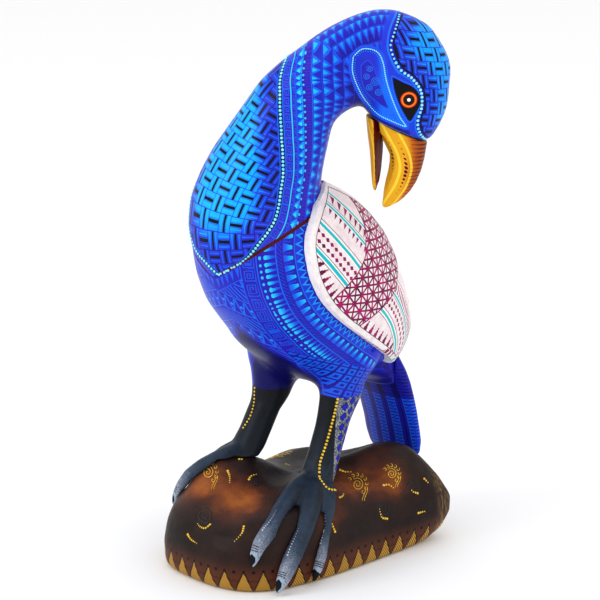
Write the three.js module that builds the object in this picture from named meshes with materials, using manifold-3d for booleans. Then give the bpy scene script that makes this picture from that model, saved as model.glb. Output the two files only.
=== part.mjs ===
// A carved and painted wooden bird on a rock-shaped base, in millimetres.
// +Z is up, the bird faces -Y and its left side is +X. The origin is the centre of the flat underside.
import * as THREE from "three";
import { mergeVertices } from "three/addons/utils/BufferGeometryUtils.js";
import Module from "manifold-3d";

const wasm = await Module();
wasm.setup();

// ---- Driving dimensions ----

const GAP = 0.3; // clearance at a glued joint
const SLIDE_GAP = 0.45; // clearance under a wing, which pulls off
const NECK_LIP = 1.8; // how far the neck piece stands proud of the torso
const WING_THICK = 6; // wing shell, measured from the body's surface
const WING_REACH = 90; // half width that holds either wing
const BORE_GAP = 0.2; // radial clearance of a dowel in its bore
const DOWEL_SIDES = 16;

const ROCK_HALF = { x: 60, y: 92 };
const ROCK_CENTRE_Y = 2;
const NECK_PLANE = { x: 24.7, y: -9.75, turn: Math.PI / 4 }; // the neck arches in a plane turned to the left
const SEAM = { tipY: -70, tipZ: 214, rise: 0.56, lean: 0.33 }; // V joint between torso and neck

const UP = new THREE.Vector3(0, 0, 1);
const ACROSS = new THREE.Vector3(1, 0, 0);
const FRONT_TO_BACK = new THREE.Vector3(0, 1, 0);

const PAINT = {
  rock: [0x3a241b, 0.55],
  blue: [0x1f3fc0, 0.38],
  deepBlue: [0x1d2fa8, 0.38],
  slate: [0x2e3644, 0.5],
  wing: [0xe9e2e4, 0.45],
  beak: [0xe59a26, 0.4],
  dowel: [0xc9a46c, 0.8],
};

// ---- Solids ----

// A closed geometry as a manifold solid, its faces moved outwards by grow.
function solid(geometry, grow = 0) {
  const bare = new THREE.BufferGeometry();
  bare.setAttribute("position", geometry.getAttribute("position"));
  bare.setIndex(geometry.getIndex());
  const merged = mergeVertices(bare, 1e-4);
  const at = merged.getAttribute("position");
  if (grow !== 0) {
    merged.computeVertexNormals();
    const normal = merged.getAttribute("normal");
    for (let i = 0; i < at.count; i++) {
      at.setXYZ(i, at.getX(i) + grow * normal.getX(i), at.getY(i) + grow * normal.getY(i),
        at.getZ(i) + grow * normal.getZ(i));
    }
  }
  const corners = merged.getIndex().array;
  const faces = [];
  for (let i = 0; i < corners.length; i += 3) {
    const [a, b, c] = [corners[i], corners[i + 1], corners[i + 2]];
    if (a !== b && b !== c && c !== a) faces.push(a, b, c);
  }
  const vertProperties = new Float32Array(at.array);
  return new wasm.Manifold(new wasm.Mesh({ numProp: 3, vertProperties, triVerts: new Uint32Array(faces) }));
}

function geometryOf(manifold) {
  const mesh = manifold.getMesh();
  const geometry = new THREE.BufferGeometry();
  geometry.setAttribute("position", new THREE.BufferAttribute(mesh.vertProperties, 3));
  geometry.setIndex(new THREE.BufferAttribute(mesh.triVerts, 1));
  geometry.computeVertexNormals();
  return geometry;
}

function join(solids) {
  return solids.reduce((a, b) => a.add(b));
}

function largest(manifold) {
  return manifold.decompose().sort((a, b) => b.volume() - a.volume())[0];
}

// Rings of points joined into one closed skin. A ring of a single point closes an end.
function skin(rings) {
  const points = rings.flat();
  const position = new Float32Array(points.flatMap((p) => [p.x, p.y, p.z]));
  const faces = [];
  let start = 0;
  for (let r = 0; r + 1 < rings.length; r++) {
    const low = rings[r].length;
    const high = rings[r + 1].length;
    const around = Math.max(low, high);
    for (let i = 0; i < around; i++) {
      const j = (i + 1) % around;
      const a = start + (i % low);
      const b = start + (j % low);
      const c = start + low + (j % high);
      const d = start + low + (i % high);
      if (low > 1) faces.push(a, b, c);
      if (high > 1) faces.push(a, c, d);
    }
    start += low;
  }
  const geometry = new THREE.BufferGeometry();
  geometry.setAttribute("position", new THREE.BufferAttribute(position, 3));
  geometry.setIndex(enclosed(points, faces) < 0 ? faces.toReversed() : faces);
  return geometry;
}

// Six times the volume inside the faces, negative where they point inwards.
function enclosed(points, faces) {
  const across = new THREE.Vector3();
  let sum = 0;
  for (let i = 0; i < faces.length; i += 3) {
    sum += points[faces[i]].dot(across.crossVectors(points[faces[i + 1]], points[faces[i + 2]]));
  }
  return sum;
}

// A smooth body through elliptical sections [x, y, z, half width along side, half depth].
// The sections stand square to the spine, or square to normal where it is given.
function loft(sections, { around = 28, along = 20, side = ACROSS, normal = null } = {}) {
  const centres = sections.map(([x, y, z]) => new THREE.Vector3(x, y, z));
  const spine = new THREE.CatmullRomCurve3(centres, false, "catmullrom", 0.5);
  const squares = sections.map(([, , , a, b]) => new THREE.Vector3(a * a, b * b, 0));
  const size = new THREE.CatmullRomCurve3(squares, false, "catmullrom", 0.5);
  const rings = [];
  for (let i = 0; i <= along; i++) {
    const even = i / along;
    const t = even - (0.7 * Math.sin(2 * Math.PI * even)) / (2 * Math.PI);
    const centre = spine.getPoint(t);
    const tangent = normal ? normal.clone() : spine.getTangent(t);
    const u = side.clone().addScaledVector(tangent, -side.dot(tangent)).normalize();
    const v = new THREE.Vector3().crossVectors(tangent, u);
    const square = size.getPoint(t);
    const a = Math.sqrt(Math.max(square.x, 0));
    const b = Math.sqrt(Math.max(square.y, 0));
    if (i === 0 || i === along) rings.push([centre]);
    if (a < 0.05) continue;
    const ring = [];
    for (let k = 0; k < around; k++) {
      const angle = (2 * Math.PI * k) / around;
      const point = centre.clone().addScaledVector(u, a * Math.cos(angle));
      ring.push(point.addScaledVector(v, b * Math.sin(angle)));
    }
    if (i === along) rings.splice(rings.length - 1, 0, ring);
    else rings.push(ring);
  }
  return skin(rings);
}

// A round rod between two points.
function rod(from, to, radius, sides = DOWEL_SIDES) {
  const span = new THREE.Vector3().subVectors(to, from);
  const geometry = new THREE.CylinderGeometry(radius, radius, span.length(), sides);
  geometry.translate(0, span.length() / 2, 0);
  geometry.applyQuaternion(new THREE.Quaternion().setFromUnitVectors(FRONT_TO_BACK, span.normalize()));
  return geometry.translate(from.x, from.y, from.z);
}

// Turns a geometry made in the neck's own plane into the figure's frame.
function fromNeckPlane(geometry) {
  return geometry.rotateZ(NECK_PLANE.turn).translate(NECK_PLANE.x, NECK_PLANE.y, 0);
}

// A loft in the neck's plane. Each section's half width lies in the plane and its half depth across it.
function archLoft(sections, options) {
  const turned = sections.map(([x, y, z, width, depth]) => [x, y, z, depth, width]);
  return fromNeckPlane(loft(turned, { ...options, side: FRONT_TO_BACK }));
}

// The same for one point: x runs across the arch, y away from its left side, z up.
function neckPoint(x, y, z) {
  return new THREE.Vector3(x, y, z)
    .applyAxisAngle(UP, NECK_PLANE.turn)
    .add(new THREE.Vector3(NECK_PLANE.x, NECK_PLANE.y, 0));
}

// ---- Rock-shaped base ----

// Top surface of the rock before its edge is rounded: a low mound with lobes [x, y, height, spread].
const ROCK_TOP = 47;
const ROCK_LOBES = [
  [-30, -28, 26, 34],
  [27, -2, 12, 26],
  [20, 64, 20, 34],
  [44, -50, 8, 22],
  [-38, 45, 11, 28],
  [46, 80, 12, 26],
  [30, 30, -4, 16],
];
// Edge profile of the rock: fraction of the outline, fraction of the height, and how much further its
// chiselled corner reaches.
const ROCK_RINGS = [
  [0.975, 0, -0.03],
  [1, 0.13, 0.06],
  [1, 0.38, 0.14],
  [0.98, 0.6, 0.14],
  [0.93, 0.78, 0.08],
  [0.81, 0.91, 0],
  [0.6, 0.975, 0],
  [0.33, 1, 0],
];

function rockHeight(x, y) {
  const bumps = ROCK_LOBES.map(([cx, cy, h, r]) => h * Math.exp(-((x - cx) ** 2 + (y - cy) ** 2) / (r * r)));
  return bumps.reduce((sum, bump) => sum + bump, ROCK_TOP);
}

// How far the rock is chiselled square at an angle: 1 at its back left corner, 0 away from it.
function chiselled(angle) {
  const towards = Math.sin(angle) * Math.cos(angle);
  return angle < Math.PI / 2 ? (2 * towards) ** 2 : 0;
}

// The rock's outline at an angle: a squarish oval.
function rockOutline(angle) {
  const c = Math.cos(angle);
  const s = Math.sin(angle);
  const power = 3.6 + 6 * chiselled(angle);
  const radius = (Math.abs(c) ** power + Math.abs(s) ** power) ** (-1 / power);
  const wave = 1 + 0.015 * Math.sin(3 * angle + 0.6) + 0.01 * Math.sin(5 * angle + 2);
  return new THREE.Vector2(ROCK_HALF.x * radius * wave * c, ROCK_CENTRE_Y + ROCK_HALF.y * radius * wave * s);
}

function rockForm() {
  const around = 56;
  const ring = ([reach, rise, flare]) =>
    Array.from({ length: around }, (_, k) => {
      const angle = (2 * Math.PI * k) / around;
      const edge = rockOutline(angle);
      const part = reach ** (1 - 0.7 * chiselled(angle)) * (1 + flare * chiselled(angle) ** 3);
      const x = edge.x * part;
      const y = ROCK_CENTRE_Y + (edge.y - ROCK_CENTRE_Y) * part;
      return new THREE.Vector3(x, y, rise * rockHeight(x, y));
    });
  const middle = new THREE.Vector3(0, ROCK_CENTRE_Y, rockHeight(0, ROCK_CENTRE_Y));
  return skin([[new THREE.Vector3(0, ROCK_CENTRE_Y, 0)], ...ROCK_RINGS.map(ring), [middle]]);
}

// ---- Body forms ----

function trunkForm() {
  const sections = [
    [0, 42, 122, 0, 0],
    [0, 39, 130, 32, 42],
    [0, 34, 143, 45, 56],
    [0, 26.5, 160, 53, 67],
    [0, 11, 189, 58, 73],
    [0, -2, 219, 57, 71.5],
    [0, -14, 246, 49, 60.5],
    [0, -23, 262, 37, 46],
    [0, -29, 276, 0, 0],
  ];
  return loft(sections, { around: 36, along: 22, normal: UP });
}

function neckForm() {
  const sections = [
    [-16, 10, 180, 0, 0],
    [-26, 6, 205, 40, 39],
    [-32, 1.5, 231, 43.5, 41],
    [-34, 0, 252, 43.3, 39.5],
    [-28, 0, 277, 38.4, 34.5],
    [-18, 0, 301.6, 32.2, 28.5],
    [-6.1, 0, 327, 27.1, 24.5],
    [8.3, 0, 340.8, 24.8, 23],
    [23.6, 0, 351, 26.2, 23.4],
    [37, 0, 356, 28.8, 24],
    [53, 0, 358, 31.6, 25],
    [69, 0, 353, 29, 24],
    [96, 0, 341, 0, 0],
  ];
  return archLoft(sections, { around: 32, along: 34 });
}

function faceForm() {
  const sections = [
    [79, 0, 383, 0, 0],
    [73, 0, 368, 20, 18],
    [68.5, 0, 347, 28, 24],
    [67, 0, 328, 28.6, 23.4],
    [63.8, 0, 310, 22.8, 18.4],
    [60, 0, 295, 17.5, 14],
  ];
  return archLoft(sections, { around: 28, along: 16 });
}

function thighForm(side, foot) {
  const sections = [
    [side * 24, foot.hipY + 13, 172, 0, 0],
    [side * 25, foot.hipY + 10, 158, 24, 29],
    [side * 28, foot.hipY + 5, 141, 22, 25],
    [foot.x, foot.hipY + 1, foot.cuffZ + 9, 16, 17],
    [foot.x, foot.hipY - 1.5, foot.cuffZ, 13.8, 14.2],
  ];
  return loft(sections, { around: 20, along: 9, normal: UP });
}

function rumpForm() {
  const sections = [
    [0, 46, 176, 0, 0],
    [0, 55, 160, 35, 33],
    [0, 72, 139, 26, 20],
    [0, 83, 121, 22, 11],
    [0, 88, 110, 20, 8.5],
  ];
  return loft(sections, { around: 24, along: 9 });
}

// ---- Joint surfaces ----

// Everything above the V joint, drop millimetres below its true place.
function aboveSeam(drop) {
  const reach = 160;
  const vee = new THREE.Shape();
  vee.moveTo(0, -drop);
  vee.lineTo(reach, SEAM.rise * reach - drop);
  vee.lineTo(reach, 2 * reach);
  vee.lineTo(-reach, 2 * reach);
  vee.lineTo(-reach, SEAM.rise * reach - drop);
  const geometry = new THREE.ExtrudeGeometry(vee, { depth: 2 * reach, bevelEnabled: false });
  geometry.translate(0, 0, -reach).rotateX(Math.PI / 2 + Math.atan(SEAM.lean));
  return solid(geometry.translate(0, SEAM.tipY, SEAM.tipZ));
}

// Everything to the right of a cut that stands square to the neck's plane, or turned about its own line.
function beyond({ low, high, turn = 0 }) {
  const depth = 120;
  const rise = new THREE.Vector2(high.x - low.x, high.z - low.z);
  const geometry = new THREE.BoxGeometry(depth, 140, rise.length() + 120);
  geometry.translate(depth / 2, 0, 0).rotateZ(turn).rotateY(Math.PI / 2 - rise.angle());
  return solid(fromNeckPlane(geometry.translate((low.x + high.x) / 2, 0, (low.z + high.z) / 2)));
}

const HEAD_CUT = { low: { x: 38.5, z: 325.5 }, high: { x: 63.3, z: 391 } };
const BEAK_CUT = { low: { x: 41.3, z: 319.3 }, high: { x: 82.3, z: 301 } };
const MOUTH_CUT = { low: { x: 49.3, z: 257 }, high: { x: 50.3, z: 319 }, turn: -0.43 };

// A cut moved to its left by a distance.
function shifted(cut, by) {
  const slope = new THREE.Vector2(cut.high.x - cut.low.x, cut.high.z - cut.low.z).normalize();
  const move = (p) => ({ x: p.x - slope.y * by, z: p.z + slope.x * by });
  return { ...cut, low: move(cut.low), high: move(cut.high) };
}

function headSide(by = 0) {
  return beyond(shifted(HEAD_CUT, by));
}

function beakSide(by = 0) {
  return beyond(shifted(BEAK_CUT, by));
}

function upperMouthSide(by = 0) {
  return beyond(shifted(MOUTH_CUT, by));
}

// ---- Dowels ----

const FEET = {
  left: { x: 28, hipY: 23, cuffZ: 118, ankleY: 1, ankleZ: 66 },
  right: { x: -28, hipY: 12, cuffZ: 114, ankleY: -12, ankleZ: 76 },
};
const WING_PEGS = { front: [8, 214], rear: [46, 184] };
const WING_PEG = { radius: 3, length: 19, depth: 16 };

// Glued dowels: name, the two pieces it joins, its end points and its radius.
const BODY_DOWELS = [
  ["left_foot_peg", "rock_base", "left_foot", [30, -6, 36], [29, 0, 72], 3.5],
  ["right_foot_peg", "rock_base", "right_foot", [-30, -20, 42], [-29, -13, 80], 3.5],
  ["left_hip_dowel", "left_foot", "torso", [28, 16, 98], [28, 25, 140], 4],
  ["right_hip_dowel", "right_foot", "torso", [-28, 6, 96], [-28, 14, 136], 4],
  ["neck_front_dowel", "torso", "neck", [0, -36, 196], [0, -42, 256], 5],
  ["neck_rear_dowel", "torso", "neck", [0, 4, 214], [0, -14, 264], 5],
  ["tail_dowel", "torso", "tail", [0, 77, 132], [0, 91, 98], 3],
];
// The same, with end points in the neck's plane.
const ARCH_DOWELS = [
  ["head_dowel", "neck", "head", [34, 0, 357], [71, 0, 348], 5],
  ["upper_beak_dowel", "head", "upper_beak", [70, 0, 327], [68.5, 0, 297], 3],
  ["lower_beak_dowel", "head", "lower_beak", [48, 1, 331], [45.8, 0.6, 308], 1.5],
];

function dowels() {
  const list = [];
  const bodyPoint = (x, y, z) => new THREE.Vector3(x, y, z);
  for (const [table, place] of [[BODY_DOWELS, bodyPoint], [ARCH_DOWELS, neckPoint]]) {
    for (const [name, low, high, from, to, radius] of table) {
      list.push({ name, joins: [low, high], from: place(...from), to: place(...to), radius });
    }
  }
  for (const [place, [y, z]] of Object.entries(WING_PEGS)) {
    for (const [side, sign] of [["left", 1], ["right", -1]]) {
      const inner = trunkReach(y, z) - WING_PEG.depth;
      const from = new THREE.Vector3(sign * inner, y, z);
      const to = new THREE.Vector3(sign * (inner + WING_PEG.length), y, z);
      const name = `${side}_wing_${place}_peg`;
      list.push({ name, joins: ["torso", `${side}_wing`], from, to, radius: WING_PEG.radius });
    }
  }
  return list;
}

// Half width of the trunk at a height and a place along the body.
function trunkReach(y, z) {
  const middleY = -2 + (219 - z) * 0.433;
  const [a, b] = [57.5, 72.2];
  return a * Math.sqrt(1 - ((y - middleY) / b) ** 2);
}

function boreFor(dowel) {
  const reach = new THREE.Vector3().subVectors(dowel.to, dowel.from).normalize().multiplyScalar(0.6);
  const from = dowel.from.clone().sub(reach);
  const to = dowel.to.clone().add(reach);
  return solid(rod(from, to, dowel.radius + BORE_GAP));
}

// ---- Pieces ----

function torsoAndNeck() {
  const trunk = [0, NECK_LIP].map((grow) => solid(trunkForm(), grow));
  const arch = [0, NECK_LIP].map((grow) => solid(neckForm(), grow));
  const thighs = [thighForm(1, FEET.left), thighForm(-1, FEET.right)].map((form) => solid(form));
  const lower = join([trunk[0], arch[0], solid(rumpForm()), ...thighs]);
  const torso = largest(lower.subtract(aboveSeam(0.5)));
  const neck = largest(trunk[1].add(arch[1]).intersect(aboveSeam(0)).subtract(headSide(GAP)));
  return { torso, neck };
}

function head() {
  const form = solid(neckForm(), NECK_LIP * 0.5).intersect(headSide()).add(solid(faceForm()));
  return largest(form.intersect(headSide()).subtract(beakSide(GAP)));
}

function upperBeak() {
  const sections = [
    [66, 0, 324, 19.5, 15.6],
    [66.2, 0, 308.5, 17.4, 14],
    [68.2, 0, 293, 12.8, 11.8],
    [66.7, 0, 282, 11.2, 10],
    [63.2, 0, 272.5, 9.8, 8.4],
    [59, 0, 264.5, 7.3, 6.2],
    [55.8, 0, 259.6, 4.4, 3.8],
    [52.6, 0, 255.4, 0, 0],
  ];
  return solid(archLoft(sections, { around: 22, along: 18 }));
}

function lowerBeak() {
  const sections = [
    [47.5, 0, 326, 7.3, 11.5],
    [48.2, 0, 308, 6.6, 9.6],
    [49.4, 0, 294, 6, 8.2],
    [48.7, 0, 280, 4.4, 5.8],
    [47.4, 0, 272, 2.4, 3.3],
    [46.9, 0, 266.5, 0, 0],
  ];
  return solid(archLoft(sections, { around: 20, along: 14 }));
}

// The open mouth: a hollow that opens towards the upper beak and the bird's left cheek.
function mouthHollow() {
  const sections = [
    [53.5, -1, 318, 0, 0],
    [54, -1.8, 306, 4.6, 6.2],
    [55.3, -2.6, 293, 6.4, 6.6],
    [54.4, -2.4, 281, 5.8, 5.2],
    [52, -1.6, 271, 4.2, 3.6],
    [49.7, -1, 258, 2.6, 2.4],
  ];
  return solid(archLoft(sections, { around: 16, along: 12 }));
}

function beakPair() {
  const upper = upperBeak().intersect(beakSide()).intersect(upperMouthSide());
  const lower = lowerBeak().intersect(beakSide()).subtract(upperMouthSide(GAP));
  const [upper_beak, lower_beak] = [upper, lower].map((half) => largest(half.subtract(mouthHollow())));
  return { upper_beak, lower_beak };
}

function tail() {
  const sections = [
    [0, 81, 134, 22, 8],
    [0, 89, 114, 28.5, 8.5],
    [0, 97, 94, 28, 8],
    [0, 103, 74, 27, 7.5],
    [0, 107, 54, 25.5, 6.5],
    [0, 109, 36, 0, 0],
  ];
  return solid(loft(sections, { around: 24, along: 14 }));
}

// Side outline of a wing, from its shoulder round the front edge to the tip and up the back edge.
function wingOutline() {
  const outline = new THREE.Shape();
  outline.moveTo(6, 272);
  outline.bezierCurveTo(-18, 266, -34, 252, -35, 235);
  outline.bezierCurveTo(-36, 214, -26, 196, -6, 180);
  outline.bezierCurveTo(14, 164, 40, 148, 68, 129);
  outline.bezierCurveTo(82, 138, 89, 156, 86, 178);
  outline.bezierCurveTo(82, 206, 56, 250, 6, 272);
  return outline;
}

function wingPrism(side) {
  const extrusion = { depth: WING_REACH, bevelEnabled: false, curveSegments: 9 };
  const geometry = new THREE.ExtrudeGeometry(wingOutline(), extrusion);
  geometry.applyMatrix4(new THREE.Matrix4().makeBasis(FRONT_TO_BACK, UP, ACROSS));
  return solid(side > 0 ? geometry : geometry.translate(-WING_REACH, 0, 0));
}

function wingBlank(side) {
  const outer = solid(trunkForm(), WING_THICK).add(solid(neckForm(), WING_THICK - 1));
  const thigh = thighForm(side, side > 0 ? FEET.left : FEET.right);
  const inner = join([trunkForm(), neckForm(), rumpForm(), thigh].map((form) => solid(form, SLIDE_GAP)));
  const lip = solid(trunkForm(), NECK_LIP + SLIDE_GAP).add(solid(neckForm(), NECK_LIP + SLIDE_GAP));
  const shell = wingPrism(side).intersect(outer).subtract(inner).subtract(lip.intersect(aboveSeam(1)));
  return largest(shell);
}

// One foot: a shank with three front toes laid over the rock.
function footForm(foot, toes) {
  const { x, hipY, cuffZ, ankleY, ankleZ } = foot;
  const shank = [
    [x, hipY - 1.5, cuffZ - GAP, 13.8, 14.2],
    [x, hipY - 5, cuffZ - 10, 12.6, 13],
    [x, (hipY + ankleY) / 2, (cuffZ + ankleZ) / 2, 11.4, 12],
    [x, ankleY, ankleZ, 12.2, 12],
    [x * 1.1, ankleY - 10, ankleZ - 10, 14.5, 12],
    [x * 1.15, ankleY - 16, ankleZ - 18, 0, 0],
  ];
  const parts = [solid(loft(shank, { around: 18, along: 12, normal: UP }))];
  for (const toe of toes) parts.push(solid(loft(toe, { around: 12, along: 12 })));
  return join(parts);
}

// Toe centre lines, laid over the rock from the ankle to the claw.
const LEFT_TOES = [
  [
    [28, -2, 66, 0, 0],
    [30, -16, 59, 9.6, 8.4],
    [34, -36, 54, 7.2, 7],
    [44, -62, 43, 6.4, 6.4],
    [44, -74, 33, 5.4, 5.2],
    [44.5, -81, 19, 0, 0],
  ],
  [
    [32, -3, 64, 0, 0],
    [39, -17, 56, 9.6, 8.4],
    [50, -33, 45, 8, 7.6],
    [56, -49, 31, 7.2, 7],
    [58, -62, 14, 5.6, 5.4],
    [58.5, -71, 1.5, 0, 0],
  ],
  [
    [35, 0, 62, 0, 0],
    [43, -8, 54, 8, 7.6],
    [51, -15, 42, 5.6, 6],
    [56.5, -24, 31, 4.9, 5.2],
    [60.8, -32, 16, 4.3, 4.6],
    [62.4, -40, 2, 0, 0],
  ],
];

const RIGHT_TOES = [
  [
    [-28, -15, 76, 0, 0],
    [-31, -27, 69, 8.6, 8],
    [-38, -40, 64, 7.4, 7],
    [-46, -49, 57, 6.6, 6.4],
    [-53, -55, 45, 5.2, 5.2],
    [-57, -59, 32, 0, 0],
  ],
  [
    [-31, -14, 76, 0, 0],
    [-38, -22, 67, 8.6, 8],
    [-49, -31, 55, 7.8, 7.4],
    [-58, -37, 39, 6.6, 6.6],
    [-62.5, -41, 20, 5, 5],
    [-64, -44, 6, 0, 0],
  ],
  [
    [-32, -10, 74, 0, 0],
    [-40, -11, 64, 7, 7],
    [-50, -12, 49, 6, 6.2],
    [-57, -13, 33, 5, 5.4],
    [-61.5, -14, 17, 4.2, 4.4],
    [-63, -16, 6, 0, 0],
  ],
];

function feet() {
  const rock = solid(rockForm(), GAP);
  return {
    left_foot: largest(footForm(FEET.left, LEFT_TOES).subtract(rock)),
    right_foot: largest(footForm(FEET.right, RIGHT_TOES).subtract(rock)),
  };
}

// ---- Assembly ----

function piecesByName() {
  const rump = solid(rumpForm(), GAP);
  const pieces = {
    rock_base: solid(rockForm()),
    ...feet(),
    ...torsoAndNeck(),
    head: head(),
    ...beakPair(),
    tail: largest(tail().subtract(rump)),
    left_wing: wingBlank(1),
    right_wing: wingBlank(-1),
  };
  for (const dowel of dowels()) {
    for (const name of dowel.joins) pieces[name] = pieces[name].subtract(boreFor(dowel));
    pieces[dowel.name] = solid(rod(dowel.from, dowel.to, dowel.radius));
  }
  return pieces;
}

function paintOf(name) {
  if (name.endsWith("dowel") || name.endsWith("peg")) return PAINT.dowel;
  if (name.endsWith("wing")) return PAINT.wing;
  if (name.endsWith("beak")) return PAINT.beak;
  if (name.endsWith("foot")) return PAINT.slate;
  if (name === "rock_base") return PAINT.rock;
  return name === "tail" ? PAINT.deepBlue : PAINT.blue;
}

const figure = new THREE.Group();
for (const [name, piece] of Object.entries(piecesByName())) {
  const [color, roughness] = paintOf(name);
  const paint = new THREE.MeshStandardMaterial({ color, roughness, metalness: 0 });
  const mesh = new THREE.Mesh(geometryOf(piece), paint);
  mesh.name = name;
  figure.add(mesh);
}

export default figure;
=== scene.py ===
# A painted wooden bird on a rock-shaped base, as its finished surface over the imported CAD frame.
import math
from functools import partialmethod

import bmesh
import bpy
import numpy as np
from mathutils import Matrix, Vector
from mathutils.bvhtree import BVHTree
from mathutils.kdtree import KDTree


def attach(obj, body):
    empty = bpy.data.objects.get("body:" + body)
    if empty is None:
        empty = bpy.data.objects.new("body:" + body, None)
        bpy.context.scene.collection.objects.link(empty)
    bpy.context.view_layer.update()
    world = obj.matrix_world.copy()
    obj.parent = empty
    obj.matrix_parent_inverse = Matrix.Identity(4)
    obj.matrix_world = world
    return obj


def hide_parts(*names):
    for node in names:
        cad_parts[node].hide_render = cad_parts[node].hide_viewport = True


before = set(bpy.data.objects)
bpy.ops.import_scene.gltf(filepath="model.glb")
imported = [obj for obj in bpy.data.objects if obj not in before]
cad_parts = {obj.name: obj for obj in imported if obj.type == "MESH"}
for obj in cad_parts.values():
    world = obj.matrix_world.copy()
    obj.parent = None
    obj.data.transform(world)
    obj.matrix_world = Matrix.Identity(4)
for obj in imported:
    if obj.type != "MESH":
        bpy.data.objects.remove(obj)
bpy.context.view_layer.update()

MM = 0.001
RANDOM = np.random.default_rng(7)
HALF = math.sqrt(0.5)

# ---- Places and sizes, in millimetres, as in the CAD ----

VOXEL = {"bird": 1.0, "wing": 1.6, "beak": 0.55, "rock": 1.5, "tail": 0.9}
NECK_PLANE = np.array([24.7, -9.75])
SEAM = {"tip_y": -70.0, "tip_z": 214.0, "rise": 0.56, "lean": 0.33, "end": 56.0}
SEAM_SLOPE = math.sqrt(1 + SEAM["rise"] ** 2 + SEAM["lean"] ** 2)
HEAD_CUT = ((38.5, 325.5), (63.3, 391.0))
BEAK_CUT = ((41.3, 319.3), (82.3, 301.0))
CUFF = {"left": 118.0, "right": 114.0}
BODY_ENDS = {"legs": 125.0, "neck_from": 180.0, "head_from": 300.0, "leg_back": 50.0}
# Where the inner corners between thighs and belly are rounded: the radius, and the heights it fades over.
FILL = {"radius": 10.0, "below": (96, 124), "above": (190, 160), "calm": (96, 112)}
# The middle line of the neck in its own plane (across the arch, up) and the neck's radius there.
SPINE = [(-26, 205), (-32, 231), (-34, 252), (-28, 277), (-18, 301.6), (-6.1, 327), (8.3, 340.8), (23.6, 351),
         (37, 356), (53, 358), (69, 353), (90, 343)]
SPINE_RADIUS = [40, 43.5, 43.3, 38.4, 32.2, 27.1, 25, 26, 29, 31.6, 29, 20]
# The front bib's border: distance up the middle line, and its directions left and right in degrees.
BIB = [(16.6, 48, 48), (20.3, 61, 44.5), (24.5, 73, 38), (29.7, 84.4, 27), (37.2, 95, 14), (44.5, 103, 4),
       (54.9, 109, -6), (65.7, 110.4, -13), (75.9, 109, -18), (86.8, 106.3, -22), (98.6, 97.7, -26),
       (107.2, 89.3, -29), (116.1, 80.1, -32), (123.9, 69.2, -34), (130, 56.4, -36), (134.7, 39, -37),
       (138, 26.4, -38), (141.7, 10.4, -39), (143.3, -4.6, -39.5), (147, -30, -40), (152, -40.5, -41),
       (200, -42, -42.5)]
BIB_END = 150.0
BIB_DOTS_END = 188.0
# Outline of a wing, seen from its side: away from the front, up.
WING_START = (6, 272)
WING_CURVES = [((-18, 266), (-34, 252), (-35, 235)), ((-36, 214), (-26, 196), (-6, 180)),
               ((14, 164), (40, 148), (68, 129)), ((82, 138), (89, 156), (86, 178)),
               ((82, 206), (56, 250), (6, 272))]
WING_HEIGHTS = (125, 276)
# Borders of a wing's star lattice.
STAR_TOP = [(-27, 194), (-22, 197), (-12.6, 204.5), (2, 214.5), (11, 223), (14, 229), (20, 239), (22, 248),
            (23, 262)]
STAR_LOW = [(-4, 172), (4, 175), (16.5, 180), (29, 185), (41, 190), (48, 194.5), (57, 202), (66, 212),
            (76, 222)]
# Head features in the neck's plane.
CROWN = [(84, 301), (83, 303.5), (78, 311), (76.5, 319), (79, 330), (78, 341), (72, 350), (64, 356.5),
         (59.5, 365),
         (58, 372), (60, 381), (64.5, 389), (66, 392)]
CHEEK = [(31, 364), (37, 369), (44, 369), (49, 366), (52, 359), (54, 348), (58, 335), (63, 323),
         (67.5, 315), (57, 318.5), (47, 323), (40, 331), (34, 343), (30.5, 354)]
PATCH = [(36.5, 358), (41, 361.5), (45, 357.5), (48, 348), (52.5, 335), (55, 328), (48, 331), (41, 338),
         (37, 348)]
EYE_PATCH = [(57.5, 350), (64, 346.5), (71, 343), (75.5, 337.5), (76, 331), (73, 325), (69.5, 319.5),
             (66, 324), (62, 332), (59, 341)]
EYE = (68.5, 334.4)
# Small whorls in the cheek's patch: across, up, radius.
WHORLS = [(46.0, 347, 3.3), (40.6, 350.6, 2.3), (42.6, 342.4, 2.6), (48.6, 338.6, 2.8), (42.6, 356, 2.3)]
# Middle lines of the yellow dots down the legs, and of the toes, from the ankle to the tip.
NEAR_LEG_LINE = [(36, 11, 117), (35.7, 6.6, 103), (35, 0.4, 86), (35, -5.7, 73), (41, -10.4, 64),
                 (48, -8.8, 59), (46.6, -1.4, 56)]
FAR_LEG_LINE = [(-32, -4, 113), (-31.6, -4.6, 109), (-30, -6, 104), (-28, -10, 98), (-28, -13, 93),
                (-30, -17, 87)]
TOES = {
    "left": [[(28, -2, 66), (30, -16, 59), (34, -36, 54), (44, -62, 43), (44, -74, 33), (44.5, -81, 19)],
             [(32, -3, 64), (39, -17, 56), (50, -33, 45), (56, -49, 31), (58, -62, 14), (58.5, -71, 1.5)],
             [(35, 0, 62), (43, -8, 54), (51, -15, 42), (56.5, -24, 31), (60.8, -32, 16), (62.4, -40, 2)]],
    "right": [[(-28, -15, 76), (-31, -27, 69), (-38, -40, 64), (-46, -49, 57), (-53, -55, 45),
               (-57, -59, 32)],
              [(-31, -14, 76), (-38, -22, 67), (-49, -31, 55), (-58, -37, 39), (-62.5, -41, 20),
               (-64, -44, 6)],
              [(-32, -10, 74), (-40, -11, 64), (-50, -12, 49), (-57, -13, 33), (-61.5, -14, 17),
               (-63, -16, 6)]],
}


def neck_frame(points):
    """Points in the neck's plane: x across the arch, y away from its left side, z up."""
    x, y = (points[:, :2] - NECK_PLANE).T
    return np.stack([HALF * (x + y), HALF * (y - x), points[:, 2]], 1)


def from_neck_frame(points):
    """Points of the neck's plane, back in the figure's frame."""
    across, side, up = np.asarray(points, dtype=float).T
    return np.stack([HALF * (across - side) + NECK_PLANE[0], HALF * (across + side) + NECK_PLANE[1], up], 1)


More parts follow.
